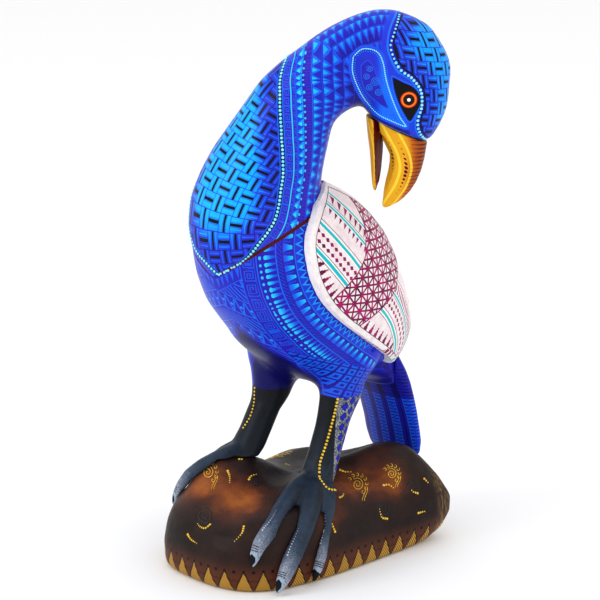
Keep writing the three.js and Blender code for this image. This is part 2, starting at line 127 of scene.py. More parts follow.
def smoothstep(low, high, value):
    t = np.clip((value - low) / (high - low), 0, 1)
    return t * t * (3 - 2 * t)


def bezier_outline(start, curves, steps):
    """Points along a chain of cubic curves."""
    points = [np.array(start, dtype=float)]
    for a, b, c in curves:
        p = points[-1]
        for t in np.linspace(0, 1, steps + 1)[1:]:
            points.append((1 - t) ** 3 * p + 3 * t * (1 - t) ** 2 * np.array(a)
                          + 3 * t * t * (1 - t) * np.array(b) + t ** 3 * np.array(c))
    return np.array(points)


def curve_through(points, count):
    """A smooth line through a few points (Catmull-Rom)."""
    p = np.asarray(points, dtype=float)
    p = np.vstack([2 * p[0] - p[1], p, 2 * p[-1] - p[-2]])
    out = []
    for t in np.linspace(0, len(p) - 3 - 1e-9, count):
        i, f = int(t), t - int(t)
        a, b, c, d = p[i:i + 4]
        out.append(0.5 * (2 * b + (c - a) * f + (2 * a - 5 * b + 4 * c - d) * f ** 2
                          + (3 * b - a - 3 * c + d) * f ** 3))
    return np.array(out)


def lengths(line):
    """Length along a line to each of its points."""
    return np.concatenate([[0], np.cumsum(np.linalg.norm(np.diff(line, axis=0), axis=1))])


def looked_up(places, along, rows):
    """Rows that belong to the places in along, blended for other places."""
    return np.stack([np.interp(places, along, column) for column in np.transpose(rows)], 1)


def spread(line, pitch, start=0.0):
    """Points along a line at an even pitch."""
    along = lengths(line)
    return looked_up(np.arange(start, along[-1], pitch), along, line)


SPINE_LINE = curve_through([(x, 0, z) for x, z in SPINE], 400)


def placed(name, data):
    """A new object in the scene."""
    thing = bpy.data.objects.new(name, data)
    bpy.context.scene.collection.objects.link(thing)
    return thing


# ---- Meshes as arrays ----

class Skin:
    """A surface as arrays: points in millimetres and faces as tuples of corners."""

    def __init__(self, points, faces):
        self.points = points
        self.faces = faces
        self.fields = {}
        self.shading = None
        self.crisp = False

    def mesh(self, name):
        mesh = bpy.data.meshes.new(name)
        mesh.from_pydata((self.points * MM).tolist(), [], self.faces)
        mesh.shade_smooth()
        for key, values in self.fields.items():
            layer = mesh.attributes.new(key, "FLOAT", "POINT")
            layer.data.foreach_set("value", np.asarray(values, dtype=np.float32))
        return mesh

    def edges(self):
        pairs = set()
        for face in self.faces:
            for a, b in zip(face, face[1:] + face[:1]):
                pairs.add((a, b) if a < b else (b, a))
        return np.array(sorted(pairs))

    def normals(self):
        mesh = bpy.data.meshes.new("scratch")
        mesh.from_pydata(self.points.tolist(), [], self.faces)
        out = np.empty(len(self.points) * 3, dtype=np.float32)
        mesh.vertex_normals.foreach_get("vector", out)
        bpy.data.meshes.remove(mesh)
        return out.reshape(-1, 3).astype(float)

    def tree(self):
        return BVHTree.FromPolygons(self.points.tolist(), self.faces)


def skin_of(mesh):
    """A mesh in metres as a skin in millimetres."""
    points = np.empty(len(mesh.vertices) * 3, dtype=np.float32)
    mesh.vertices.foreach_get("co", points)
    faces = [tuple(p.vertices) for p in mesh.polygons]
    return Skin(points.reshape(-1, 3).astype(float) / MM, faces)


def remeshed(names, voxel):
    """One even skin round these CAD nodes. Gaps at glued joints close up."""
    bm = bmesh.new()
    for name in names:
        bm.from_mesh(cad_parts[name].data)
    mesh = bpy.data.meshes.new("scratch")
    bm.to_mesh(mesh)
    bm.free()
    return evened_mesh(mesh, voxel)


def evened(skin, voxel):
    return evened_mesh(skin.mesh("scratch"), voxel)


def evened_mesh(mesh, voxel):
    """The outer skin of a mesh, rebuilt with even faces."""
    thing = placed("scratch", mesh)
    modifier = thing.modifiers.new("even", "REMESH")
    modifier.mode = "VOXEL"
    modifier.voxel_size = voxel * MM
    modifier.adaptivity = 0
    graph = bpy.context.evaluated_depsgraph_get()
    even = bpy.data.meshes.new_from_object(thing.evaluated_get(graph))
    skin = skin_of(even)
    bpy.data.objects.remove(thing)
    bpy.data.meshes.remove(mesh)
    bpy.data.meshes.remove(even)
    return largest_part(skin)


SHARP = 0.86


def refined(name, longest):
    """A node's own faces, split until no edge is longer than this, and rounded but for its sharp edges.

    Also tells which points are on a sharp edge: those with a face turned well away from the mean.
    """
    bm = bmesh.new()
    bm.from_mesh(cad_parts[name].data)
    bmesh.ops.remove_doubles(bm, verts=bm.verts, dist=1e-6)
    for _ in range(7):
        long_edges = [e for e in bm.edges if e.calc_length() > longest * MM]
        if not long_edges:
            break
        bmesh.ops.subdivide_edges(bm, edges=long_edges, cuts=1)
        bmesh.ops.triangulate(bm, faces=bm.faces[:])
    bm.normal_update()
    flat = [min((f.normal.dot(v.normal) for f in v.link_faces), default=1) for v in bm.verts]
    mesh = bpy.data.meshes.new("scratch")
    bm.to_mesh(mesh)
    bm.free()
    skin = skin_of(mesh)
    bpy.data.meshes.remove(mesh)
    skin.crisp = True
    return smoothed(skin, 12, smoothstep(SHARP, 0.96, np.array(flat))), np.array(flat) < SHARP


def eased(skin, edge, rounds):
    """Smooths a jagged edge along itself."""
    pairs = skin.edges()
    pairs = pairs[edge[pairs].all(1)]
    count = np.maximum(np.bincount(pairs.ravel(), minlength=len(skin.points)), 1)[:, None]
    ends = (np.bincount(pairs.ravel(), minlength=len(skin.points)) > 1)[:, None]
    for _ in range(rounds):
        total = np.zeros_like(skin.points)
        np.add.at(total, pairs[:, 0], skin.points[pairs[:, 1]])
        np.add.at(total, pairs[:, 1], skin.points[pairs[:, 0]])
        skin.points += 0.5 * ends * (total / count - skin.points)
    return skin


def largest_part(skin):
    """Drops loose inner skins, such as dowel bores."""
    edges = skin.edges()
    label = np.arange(len(skin.points))
    while True:
        low = np.minimum(label[edges[:, 0]], label[edges[:, 1]])
        before = label.copy()
        np.minimum.at(label, edges[:, 0], low)
        np.minimum.at(label, edges[:, 1], low)
        label = label[label]
        if (label == before).all():
            break
    keep = label == np.bincount(label).argmax()
    index = np.cumsum(keep) - 1
    faces = [tuple(int(index[v]) for v in face) for face in skin.faces if keep[face[0]]]
    return Skin(skin.points[keep], faces)


def smoothed(skin, rounds, weight=None):
    """Each point moves towards the mean of its neighbours, by its weight."""
    edges = skin.edges()
    count = np.bincount(edges.ravel(), minlength=len(skin.points))[:, None]
    points = skin.points.copy()
    weight = 0.5 if weight is None else 0.5 * weight[:, None]
    for _ in range(rounds):
        total = np.empty_like(points)
        for axis in range(3):
            both = np.concatenate([points[edges[:, 1], axis], points[edges[:, 0], axis]])
            total[:, axis] = np.bincount(edges.T.ravel(), weights=both, minlength=len(points))
        points += weight * (total / count - points)
    skin.points = points
    return skin


def near_line(points, line):
    """Distance from each point to a dense line, and the length along the line to the nearest place."""
    line = np.asarray(line, dtype=float)
    if line.shape[1] == 2:
        line = np.c_[line, np.zeros(len(line))]
        points = np.c_[points, np.zeros(len(points))]
    along = lengths(line)
    tree = KDTree(len(line))
    for i, p in enumerate(line):
        tree.insert(p, i)
    tree.balance()
    nearest = np.array([tree.find(p)[1] for p in points])
    best = np.full(len(points), 1e9)
    place = np.zeros(len(points))
    for shift in (-1, 0):
        a = np.clip(nearest + shift, 0, len(line) - 2)
        start, step = line[a], line[a + 1] - line[a]
        t = np.clip(((points - start) * step).sum(1) / np.maximum((step * step).sum(1), 1e-9), 0, 1)
        gap = np.linalg.norm(points - start - step * t[:, None], axis=1)
        closer = gap < best
        best[closer] = gap[closer]
        place[closer] = (along[a] + t * (along[a + 1] - along[a]))[closer]
    return best, place


def inside(points, outline):
    """Which flat points lie inside a closed outline."""
    within = np.zeros(len(points), dtype=bool)
    x, y = points.T
    for (x0, y0), (x1, y1) in zip(outline, np.roll(outline, -1, axis=0)):
        crosses = (y0 > y) != (y1 > y)
        with np.errstate(divide="ignore", invalid="ignore"):
            within ^= crosses & (x < (x1 - x0) * (y - y0) / (y1 - y0) + x0)
    return within


def from_outline(points, corners):
    """Distance of flat points to a smooth closed outline, below 0 inside it, and the place along it."""
    line = curve_through(list(corners) + [corners[0]], 12 * len(corners))
    gap, place = near_line(points, line)
    return np.where(inside(points, line[:-1]), -gap, gap), place


def far(count, value=99.0):
    return np.full(count, value)


# ---- Fields over the bird, which its paint follows ----

def seam_height(points):
    """Height over the V joint between torso and neck."""
    x, y, z = points.T
    return (z - SEAM["tip_z"] - SEAM["rise"] * np.abs(x) - SEAM["lean"] * (y - SEAM["tip_y"])) / SEAM_SLOPE


def past_cut(across, up, cut):
    """Signed distance to a straight cut across the neck's plane, above 0 towards the beak."""
    (x0, z0), (x1, z1) = cut
    length = math.copysign(math.hypot(x1 - x0, z1 - z0), z1 - z0)
    return (across - x0) * ((z1 - z0) / length) + (up - z0) * ((x0 - x1) / length)


def over_cut(points, cut):
    flat = neck_frame(points)
    return past_cut(flat[:, 0], flat[:, 2], cut)


def spine_fields(points):
    """Length up the neck's middle line, and direction round it in degrees (0 outwards, 90 to the left)."""
    flat = neck_frame(points)
    _, run = near_line(flat, SPINE_LINE)
    centre, outward = spine_at(run)
    offset = flat - centre
    turn = np.degrees(np.arctan2(-offset[:, 1], (offset * outward).sum(1)))
    return run, turn


def spine_at(run):
    """The middle line's place at a length, and the direction out of the arch there."""
    along = lengths(SPINE_LINE)
    centre = looked_up(run, along, SPINE_LINE)
    tangent = looked_up(run, along, np.gradient(SPINE_LINE, axis=0))
    tangent /= np.linalg.norm(tangent, axis=1)[:, None]
    return centre, np.stack([-tangent[:, 2], 0 * run, tangent[:, 0]], 1)


def on_skin(tree, start, direction):
    """Where a ray meets a skin."""
    hit = tree.ray_cast(Vector(start), Vector(direction))[0]
    return None if hit is None else np.array(hit)


def laid(tree, starts, directions):
    """Where rays meet a skin, without those that miss it."""
    pairs = zip(starts, np.broadcast_to(directions, np.shape(starts)))
    hits = [on_skin(tree, start, direction) for start, direction in pairs]
    return [hit for hit in hits if hit is not None]


def bib_border(tree):
    """The bib's border on the skin, as one line: down the right side, round the front tip, up the left."""
    knots = np.array(BIB, dtype=float)
    sides = []
    for column in (2, 1):
        fine = curve_through(knots[:, [0, column]], 420)
        centre, outward = spine_at(fine[:, 0])
        turn = np.radians(fine[:, 1])
        way = outward * np.cos(turn)[:, None] + np.array([0, -1, 0]) * np.sin(turn)[:, None]
        start = from_neck_frame(centre)
        sides.append(laid(tree, start, from_neck_frame(centre + way) - start))
    return np.vstack([sides[0][::-1], sides[1]])


def crown_border(tree, side):
    """The crown's border on one side of the head, from the beak up."""
    flat = curve_through(CROWN, 200)
    start = from_neck_frame(np.stack([flat[:, 0], far(len(flat), 60.0 * side), flat[:, 1]], 1))
    return np.array(laid(tree, start, np.array([side * HALF, -side * HALF, 0])))


def wing_border(tree):
    """The left wing's outline laid on the body."""
    flat = bezier_outline(WING_START, WING_CURVES, 30)
    hits = [on_skin(tree, (150, y, z), (-1, 0, 0)) for y, z in flat]
    good = [i for i, hit in enumerate(hits) if hit is not None]
    return looked_up(np.arange(len(hits)), good, [hits[i] for i in good])


def paint_fields(skin):
    """Adds every field the blue body's paint needs. Returns the lines the raised dots follow."""
    points, tree = skin.points, skin.tree()
    f = skin.fields
    run, turn = spine_fields(points)
    f["run"] = run
    f["round"] = np.radians(turn - 20) * np.interp(run, lengths(np.array(SPINE)), SPINE_RADIUS)
    bib_up, *bib_edges = np.transpose(BIB)
    left_edge, right_edge = (np.interp(run, bib_up, edge) for edge in bib_edges)
    border = bib_border(tree)
    gap, place = near_line(points, border)
    within = (turn < left_edge) & (turn > right_edge) & (run > bib_up[0]) & (run < BIB_END)
    f["bib"], f["bib_run"] = np.where(within, -gap, gap), place
    flat = neck_frame(points)
    crowns = [crown_border(tree, side) for side in (-1, 1)]
    gap = np.minimum(*(near_line(points, line)[0] for line in crowns))
    across, up = np.transpose(CROWN[1:])
    f["crown"] = np.where(flat[:, 0] > np.interp(flat[:, 2], up, across), -gap, gap)
    high = points[:, 2] > BODY_ENDS["head_from"]
    for key, corners in (("cheek", CHEEK), ("patch", PATCH), ("eye_patch", EYE_PATCH)):
        f[key], place = far(len(points)), far(len(points))
        f[key][high], place[high] = from_outline(flat[high][:, [0, 2]], corners)
        if key == "cheek":
            f["cheek_run"] = place
    mirrored = np.abs(points) * [1, 0, 0] + points * [0, 1, 1]
    f["wing"], f["wing_run"] = near_line(mirrored, wing_border(tree))
    return {"bib": border, "crown_left": crowns[0], "crown_right": crowns[1]}


# ---- The bird's blue body as one skin, parted at its joints ----

def parted(skin, value):
    """Adds points and edges where value crosses zero, so that pieces meet on a clean line."""
    bm = bmesh.new()
    for p in skin.points:
        bm.verts.new(p)
    bm.verts.ensure_lookup_table()
    for face in skin.faces:
        bm.faces.new([bm.verts[v] for v in face])
    bm.verts.index_update()
    cut = []
    for edge in bm.edges:
        a, b = (value[v.index] for v in edge.verts)
        if abs(a) < 5 and abs(b) < 5 and a * b < 0:
            cut.append((edge, min(max(a / (a - b), 0.02), 0.98)))
    marked = {bmesh.utils.edge_split(edge, edge.verts[0], share)[1] for edge, share in cut}
    for face in list(bm.faces):
        corners = [v for v in face.verts if v in marked]
        if len(corners) == 2:
            bmesh.utils.face_split(face, corners[0], corners[1])
    bm.verts.index_update()
    points = np.array([v.co[:] for v in bm.verts])
    faces = [tuple(v.index for v in f.verts) for f in bm.faces]
    bm.free()
    return Skin(points, faces)


def fill_radius(points):
    """How widely inner corners are rounded where the thighs leave the belly."""
    z = points[:, 2]
    return FILL["radius"] * smoothstep(*FILL["below"], z) * smoothstep(*FILL["above"], z)


def filled_corners(skin):
    """Rounds the inner corners by growing the skin and shrinking it again."""
    for sign in (1, -1):
        smoothed(skin, 5, smoothstep(*FILL["calm"], skin.points[:, 2]))
        skin.points += sign * skin.normals() * fill_radius(skin.points)[:, None]
        skin = evened(skin, VOXEL["bird"])
    return skin


def seam_groove(points):
    """How deep the V joint is cut in, tapering to its ends."""
    width = np.clip(1 - ((np.abs(points[:, 0]) - 0.5 * SEAM["end"]) / (0.55 * SEAM["end"])) ** 2, 0, 1)
    front = smoothstep(10, -5, points[:, 1])
    return 1.2 * width * front * np.exp(-(seam_height(points) / 1.1) ** 2)


def bird_skin():
    """The body, rounded everywhere but on the feet, with points along each joint."""
    skin = remeshed(["torso", "neck", "head", "left_foot", "right_foot"], VOXEL["bird"])
    skin = filled_corners(skin)
    legs = smoothstep(BODY_ENDS["legs"], BODY_ENDS["legs"] - 20, skin.points[:, 2])
    smoothed(skin, 80, 1 - 0.93 * legs)
    skin = parted(skin, np.where(skin.points[:, 2] > BODY_ENDS["neck_from"], seam_height(skin.points), 99))
    over = skin.points[:, 2] > BODY_ENDS["head_from"]
    skin = parted(skin, np.where(over, over_cut(skin.points, HEAD_CUT), 99))
    x, y, z = skin.points.T
    cuff = z - np.where(x > 0, CUFF["left"], CUFF["right"])
    skin = parted(skin, np.where((y < BODY_ENDS["leg_back"]) & (np.abs(x) > 5), cuff, 99))
    skin.points -= skin.normals() * seam_groove(skin.points)[:, None]
    return clear_of_wings(skin)


def clear_of_wings(skin, gap=0.7):
    """Sinks the body's skin a little wherever a wing lies on it."""
    bm = bmesh.new()
    for side in ("left", "right"):
        bm.from_mesh(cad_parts[side + "_wing"].data)
    bm.verts.ensure_lookup_table()
    bmesh.ops.scale(bm, vec=(1000, 1000, 1000), verts=bm.verts)
    wings = BVHTree.FromBMesh(bm)
    bm.free()
    normals = skin.normals()
    sink = np.zeros(len(skin.points))
    low, high = WING_HEIGHTS
    for i in np.nonzero((skin.points[:, 2] > low) & (skin.points[:, 2] < high))[0]:
        place, normal, _, distance = wings.find_nearest(Vector(skin.points[i]), 3.0)
        if place is not None:
            outside = (Vector(skin.points[i]) - place).dot(normal) > 0
            sink[i] = max(0.0, gap - (distance if outside else -distance))
    skin.points -= normals * np.minimum(sink, 2.5)[:, None]
    return smoothed(skin, 2, (sink > 0).astype(float))


def piece_of(centres):
    """Which piece each place on the bird's skin belongs to."""
    x, y, z = centres.T
    names = np.where(seam_height(centres) > 0, "neck", "torso").astype(object)
    names[(z > BODY_ENDS["head_from"]) & (over_cut(centres, HEAD_CUT) > 0)] = "head"
    leg = (y < BODY_ENDS["leg_back"]) & (z < np.where(x > 0, CUFF["left"], CUFF["right"]))
    names[leg & (x > 0)] = "left_foot"
    names[leg & (x < 0)] = "right_foot"
    return names


def divided(skin):
    """The skin's pieces by name, each with its fields and the whole skin's normals."""
    normals = skin.normals()
    centres = np.array([skin.points[list(f)].mean(0) for f in skin.faces])
    names = piece_of(centres)
    pieces = {}
    for name in np.unique(names):
        faces = [skin.faces[i] for i in np.nonzero(names == name)[0]]
        used = np.unique(np.concatenate([np.array(f) for f in faces]))
        index = {int(v): i for i, v in enumerate(used)}
        part = Skin(skin.points[used], [tuple(index[v] for v in f) for f in faces])
        part.fields = {key: values[used] for key, values in skin.fields.items()}
        part.shading = normals[used]
        pieces[name] = part
    return pieces


def foot_fields(skin, toes):
    """Distance from the tip of the nearest toe, and sideways from its middle line."""
    best = far(len(skin.points), 1e9)
    tip, side = far(len(skin.points)), far(len(skin.points))
    for toe in toes:
        line = curve_through(toe, 160)
        gap, place = near_line(skin.points, line)
        along = lengths(line)
        way = looked_up(place, along, np.gradient(line, axis=0)[:, :2])
        way /= np.linalg.norm(way, axis=1)[:, None]
        offset = (skin.points - looked_up(place, along, line))[:, :2]
        closer = gap < best
        best[closer] = gap[closer]
        tip[closer] = (along[-1] - place)[closer]
        side[closer] = (offset[:, 0] * way[:, 1] - offset[:, 1] * way[:, 0])[closer]
    skin.fields["tip"] = tip
    skin.fields["side"] = side


# ---- Paint, as arithmetic on fields ----

class Value:
    """One number per place on a surface, made by shader nodes."""

    def __init__(self, paint, socket):
        self.paint = paint
        self.socket = socket

    def op(self, kind, *others):
        node = self.paint.node("Math", operation=kind)
        self.paint.feed(node.inputs, self, *others)
        return Value(self.paint, node.outputs[0])

    __add__ = __radd__ = partialmethod(op, "ADD")
    __sub__ = partialmethod(op, "SUBTRACT")
    __rsub__ = partialmethod(op, "MULTIPLY_ADD", -1.0)
    __mul__ = __rmul__ = partialmethod(op, "MULTIPLY")
    __truediv__ = partialmethod(op, "DIVIDE")
    __abs__ = partialmethod(op, "ABSOLUTE")
    __lt__ = partialmethod(op, "LESS_THAN")
    __gt__ = partialmethod(op, "GREATER_THAN")
    frac = partialmethod(op, "FRACT")
    floor = partialmethod(op, "FLOOR")
    root = partialmethod(op, "SQRT")
    least = partialmethod(op, "MINIMUM")
    most = partialmethod(op, "MAXIMUM")

    def turn(self, across):
        """Direction of a place, in turns, from this height and how far across it is."""
        return self.op("ARCTAN2", across) / (2 * math.pi)

    def ramp(self, low, high, at_low=0.0, at_high=1.0, soft=True):
        """Goes from at_low to at_high as this goes from low to high, softly or straight."""
        node = self.paint.node("MapRange", interpolation_type="SMOOTHSTEP" if soft else "LINEAR")
        self.paint.feed(node.inputs, self, low, high, at_low, at_high)
        return Value(self.paint, node.outputs[0])


class Paint:
    """A material whose colour, relief and gloss are built from fields."""

    def __init__(self, name):
        self.material = bpy.data.materials.new(name)
        self.material.use_nodes = True
        self.tree = self.material.node_tree
        self.coordinates = self.node("TexCoord").outputs["Object"]
        split = self.node("SeparateXYZ")
        self.tree.links.new(self.coordinates, split.inputs[0])
        self.x, self.y, self.z = (Value(self, s) * 1000.0 for s in split.outputs)

    def node(self, kind, **settings):
        node = self.tree.nodes.new("ShaderNode" + kind)
        for key, value in settings.items():
            setattr(node, key, value)
        return node

    def feed(self, slots, *values):
        """Gives each slot its value, a plain number or one that varies."""
        for slot, value in zip(slots, values):
            if isinstance(value, Value):
                self.tree.links.new(value.socket, slot)
            else:
                slot.default_value = value

    def field(self, name):
        return Value(self, self.node("Attribute", attribute_name=name).outputs["Fac"])

    def noise(self, size, detail=3.0, stretch=(1, 1, 1)):
        """Soft random variation from 0 to 1, with spots of this size in millimetres."""
        mapping, node = self.node("Mapping"), self.node("TexNoise")
        mapping.inputs["Scale"].default_value = stretch
        self.tree.links.new(self.coordinates, mapping.inputs["Vector"])
        self.tree.links.new(mapping.outputs[0], node.inputs["Vector"])
        slots = [node.inputs[key] for key in ("Scale", "Detail", "Roughness")]
        self.feed(slots, 1000.0 / size, detail, 0.55)
        return Value(self, node.outputs[0])

    def blend(self, a, b, share):
        """From a to b by share."""
        node = self.node("Mix")
        self.feed([node.inputs[k] for k in (0, 2, 3)], share, a, b)
        return Value(self, node.outputs[0])

    def colours(self, tone, stops):
        """Colour for each tone from 0 to 1."""
        node = self.node("ValToRGB")
        elements = node.color_ramp.elements
        while len(elements) < len(stops):
            elements.new(0.5)
        for element, (at, colour) in zip(elements, stops):
            element.position = at
            element.color = (*screen(colour), 1)
        self.feed(node.inputs, tone)
        return node.outputs[0]

    def over(self, below, above, share):
        """Lays one colour over another by share."""
        node = self.node("Mix", data_type="RGBA")
        self.feed(node.inputs, share)
        for slot, value in ((node.inputs[6], below), (node.inputs[7], above)):
            if isinstance(value, tuple):
                slot.default_value = (*screen(value), 1)
            else:
                self.tree.links.new(value, slot)
        return node.outputs[2]

    def layered(self, colour, *layers):
        """Lays colours over one another, each by its share."""
        for above, share in layers:
            colour = self.over(colour, above, share)
        return colour

    def finish(self, colour, relief, depth, rough, coat=0.0):
        """Sets the colour, the height of the paint, and how matt it is."""
        bump, slots = self.node("Bump"), self.tree.nodes["Principled BSDF"].inputs
        self.tree.links.new(colour, slots["Base Color"])
        self.tree.links.new(bump.outputs[0], slots["Normal"])
        self.feed([bump.inputs[key] for key in ("Strength", "Distance", "Height")], 1.0, depth * MM, relief)
        gloss = ("Roughness", "Coat Weight", "Specular IOR Level", "Coat Roughness")
        self.feed([slots[key] for key in gloss], rough, coat, 0.09, 0.22)
        return self.material


def screen(colour):
    """Linear light from a 0-255 screen colour."""
    return tuple((c / 255 / 12.92) if c <= 10 else ((c / 255 + 0.055) / 1.055) ** 2.4 for c in colour)


def off(u, pitch):
    """Distance to the nearest multiple of a pitch, shifted by half a pitch."""
    return abs((u / pitch).frac() - 0.5) * pitch


def band(v, low, high):
    return (v > low) * (v < high)


def line(v, at, width):
    return abs(v - at) < 0.5 * width


def teeth(u, v, pitch, low, high, fill=1.0):
    """Triangles with their bases at low and their tips at high."""
    reach = v.ramp(low, high, 0.5 * pitch * fill, 0.0, soft=False)
    return (off(u, pitch) < reach) * band(v, min(low, high), max(low, high))


def spot(u, v, radius):
    """A round spot where u and v are 0."""
    return (u * u + v * v) < radius * radius


def dots(u, v, pitch, at, radius):
    return spot(off(u, pitch), v - at, radius)


def spiral(u, v, pitch, low, high, turns=2.6):
    """Square spirals in a row, as in a fret border."""
    size = high - low
    a = (u / pitch).frac() - 0.5
    b = (v - low) / size - 0.5
    ring = abs(a).most(abs(b))
    return ((ring * (2 * turns) + b.turn(a)).frac() < 0.42) * band(v, low, high)


def woven(u, v, bright, ground):
    """Tones of a basket weave: blocks with a dark middle bar, light streaks beside it, and a dark rim."""
    p, cell = u.paint, 8.9
    a, b = u / cell, v / cell
    odd = ((a.floor() + b.floor()) / 2).frac() > 0.25
    a, b = a.frac() - 0.5, b.frac() - 0.5
    along, beside = abs(p.blend(a, b, odd)), abs(p.blend(b, a, odd))
    t = Tones(p, ground + bright)
    t.lay(line(beside, 0.29, 0.05) * (along < 0.475),
          p.blend(ground + bright + 0.17, bright + 0.03, bright.ramp(0.6, 0.74)))
    t.lay((beside > 0.465) + line(beside, 0.135, 0.035), bright - 0.26)
    t.lay(along > 0.475, bright - 0.22)
    t.lay((beside < 0.093) * (along < 0.485), 0.0)
    return t.value


class Tones:
    """Layers of tone, from 0 dark to 1 light, each laid over the last."""

    def __init__(self, paint, base):
        self.paint = paint
        self.value = base

    def lay(self, mask, tone):
        self.value = self.paint.blend(self.value, tone, mask)


BLUES = [(0.0, (4, 6, 22)), (0.16, (14, 14, 92)), (0.34, (28, 26, 168)), (0.5, (20, 60, 214)),
         (0.64, (16, 104, 240)), (0.8, (10, 172, 252)), (0.92, (60, 220, 255)), (1.0, (160, 245, 255))]


def torso_tones(p, seam, ground):
    """Hatched rows over the torso, rings round the wing, tiles on the thigh, and painted shade between the
    thighs and towards the back.
    """
    wing, wing_run = p.field("wing"), p.field("wing_run")
    x, y, z = p.x, p.y, p.z
    t = Tones(p, ground + 0.36)
    leaf = z + abs(x) * 0.35
    row = (leaf / 12.0).frac() * 12.0
    odd = (leaf / 24.0).frac() > 0.5
    t.lay((off(x + z * 0.75, 3.1) < 0.55) * band(row, 1.6, 10.6) * odd, 0.62)
    t.lay((abs(off(x + 1.0, 6.4) - row * 0.26) < 0.5) * band(row, 0.6, 11.2) * (1 - odd), 0.64)
    t.lay(dots(x + 1.0, row, 6.4, 6.2, 0.85) * (1 - odd), 0.74)
    t.lay(line(row, 0.5, 0.8), 0.64)
    t.lay(band(seam, -9.5, 0), ground + 0.38)
    t.lay(teeth(abs(x) + 100, seam * -1.0, 4.2, 1.9, 8.5, 0.6), 0.6)
    t.lay(line(seam, -9.8, 0.6), 0.56)
    rings = wing < 44
    t.lay(rings, ground + 0.34)
    t.lay(band(wing, 0, 6.4), ground + 0.46)
    low = (z - y * 0.2).ramp(152, 146)
    t.lay(teeth(wing_run, wing, 5.3, 0.6, 6.0, 0.95) * (1 - low), 0.72)
    t.lay(teeth(wing_run, wing, 5.3, 0.6, 3.4, 0.62) * (1 - low), 0.3)
    t.lay(line(wing, 6.6, 0.7), 0.63)
    wedge = (off(wing_run, 5.9) < wing.ramp(8, 14.6, 0.9, 2.1, soft=False)) * band(wing, 8.0, 14.6)
    t.lay(wedge, wing.ramp(8, 14.6, 0.84, 0.58))
    t.lay((off(wing_run + 2.95, 5.9) < 0.35) * band(wing, 9, 14.6), 0.5)
    t.lay(band(wing, 15.2, 19.2), ground + 0.32)
    t.lay((off(wing_run + wing * 0.8, 2.2) < 0.4) * band(wing, 15.6, 19.0), 0.48)
    t.lay(line(wing, 19.6, 0.8), 0.62)
    drop = (off(wing_run, 3.5) < wing.ramp(20, 26.8, 0.45, 1.15, soft=False)) * band(wing, 20.2, 26.8)
    t.lay(drop + dots(wing_run, wing, 3.5, 26.6, 1.15), wing.ramp(21, 27, 0.56, 0.86))
    t.lay(dots(wing_run, wing, 3.5, 30.3, 0.85), 0.84)
    t.lay(line(wing, 32.7, 0.7), 0.62)
    t.lay(spiral(wing_run, wing, 7.6, 34.1, 42.4), 0.56)
    t.lay(line(wing, 43.6, 0.7), 0.6)
    tiles = (z + y * 0.35 - 3).ramp(146, 144) * (x > 26) * (y > -34) * (z > 100)
    t.lay(tiles, ground + 0.27)
    tile = off(y * 0.9 - z * 0.35, 6.2).most(off(z + y * 0.35, 5.6))
    t.lay(tiles * band(tile, 1.0, 2.3), 0.6)
    # Painted shade: darker tone between the thighs under the belly, and towards the back of the torso.
    inner = (z + abs(x) * 1.1).ramp(182, 168) * (1 - x.ramp(19, 25)) * x.ramp(-36, -32)
    painted_shade = inner + y.ramp(62, 80) * 0.9
    t.lay(painted_shade.least(1.0) * (1 - rings * 0.4), ground * 0.6 + 0.14)
    return t.value


def neck_tones(p, bib, broad, ground):
    """Bands that follow the bib's border, and the woven bib, brightest in its middle."""
    bib_run, run = p.field("bib_run"), p.field("run")
    t = Tones(p, ground + 0.38)
    t.lay(abs(bib) < 1.5, 0.12)
    t.lay(line(bib, 2.0, 0.75), 0.62)
    t.lay(band(bib, 2.4, 10.6), ground + 0.34)
    t.lay(spiral(bib_run, bib, 5.4, 2.9, 6.7, 1.5) + spiral(bib_run + 2.7, bib, 5.4, 8.4, 10.5, 1.2), 0.57)
    t.lay((off(bib_run, 10.8) < 0.3) * band(bib, 2.4, 10.5), 0.6)
    t.lay(line(bib, 7.6, 0.85), 0.86)
    t.lay(line(bib, 10.9, 0.6), 0.56)
    t.lay(band(bib, 11.2, 15.4), ground + 0.46)
    t.lay(teeth(bib_run, bib, 5.2, 15.4, 11.2, 1.0), 0.72)
    t.lay(teeth(bib_run + 1.0, bib, 5.2, 14.0, 11.2, 0.55), 0.88)
    t.lay(band(bib, 15.4, 21.6), ground + 0.26)
    t.lay(dots(bib_run, bib, 4.3, 16.4, 0.75), 0.86)
    t.lay((off(bib_run, 1.75) < 0.42) * band(bib, 17.6, 21.2), 0.44)
    t.lay(line(bib, 21.7, 0.6), 0.6)
    t.lay(teeth(bib_run, bib, 5.4, 22.4, 28.2, 1.0), 0.62)
    t.lay(teeth(bib_run, bib, 5.4, 22.4, 26.0, 0.5), 0.82)
    t.lay(line(bib, 28.8, 0.5), 0.5)
    deep = bib.ramp(30, 52)
    t.lay(bib > 29.1, ground + 0.36 - deep * 0.16)
    for start, shift in ((29.6, 0.0), (36.4, 2.5), (43.0, 1.2)):
        t.lay(teeth(bib_run + shift, bib, 5.0, start, start + 5.8, 1.0), 0.58 - deep * 0.14)
        t.lay(teeth(bib_run + shift, bib, 5.0, start, start + 3.4, 0.5), 0.76 - deep * 0.25)
        t.lay(line(bib, start + 6.3, 0.45), 0.5 - deep * 0.1)
    bright = 0.46 + bib.ramp(-7, -22) * run.ramp(26, 52) * 0.33 + (broad - 0.5) * 0.1
    t.lay(bib < -2.1, woven(run + 1.4, p.field("round"), bright, ground))
    t.lay(line(bib, -2.0, 0.75), 0.6)
    return t.value


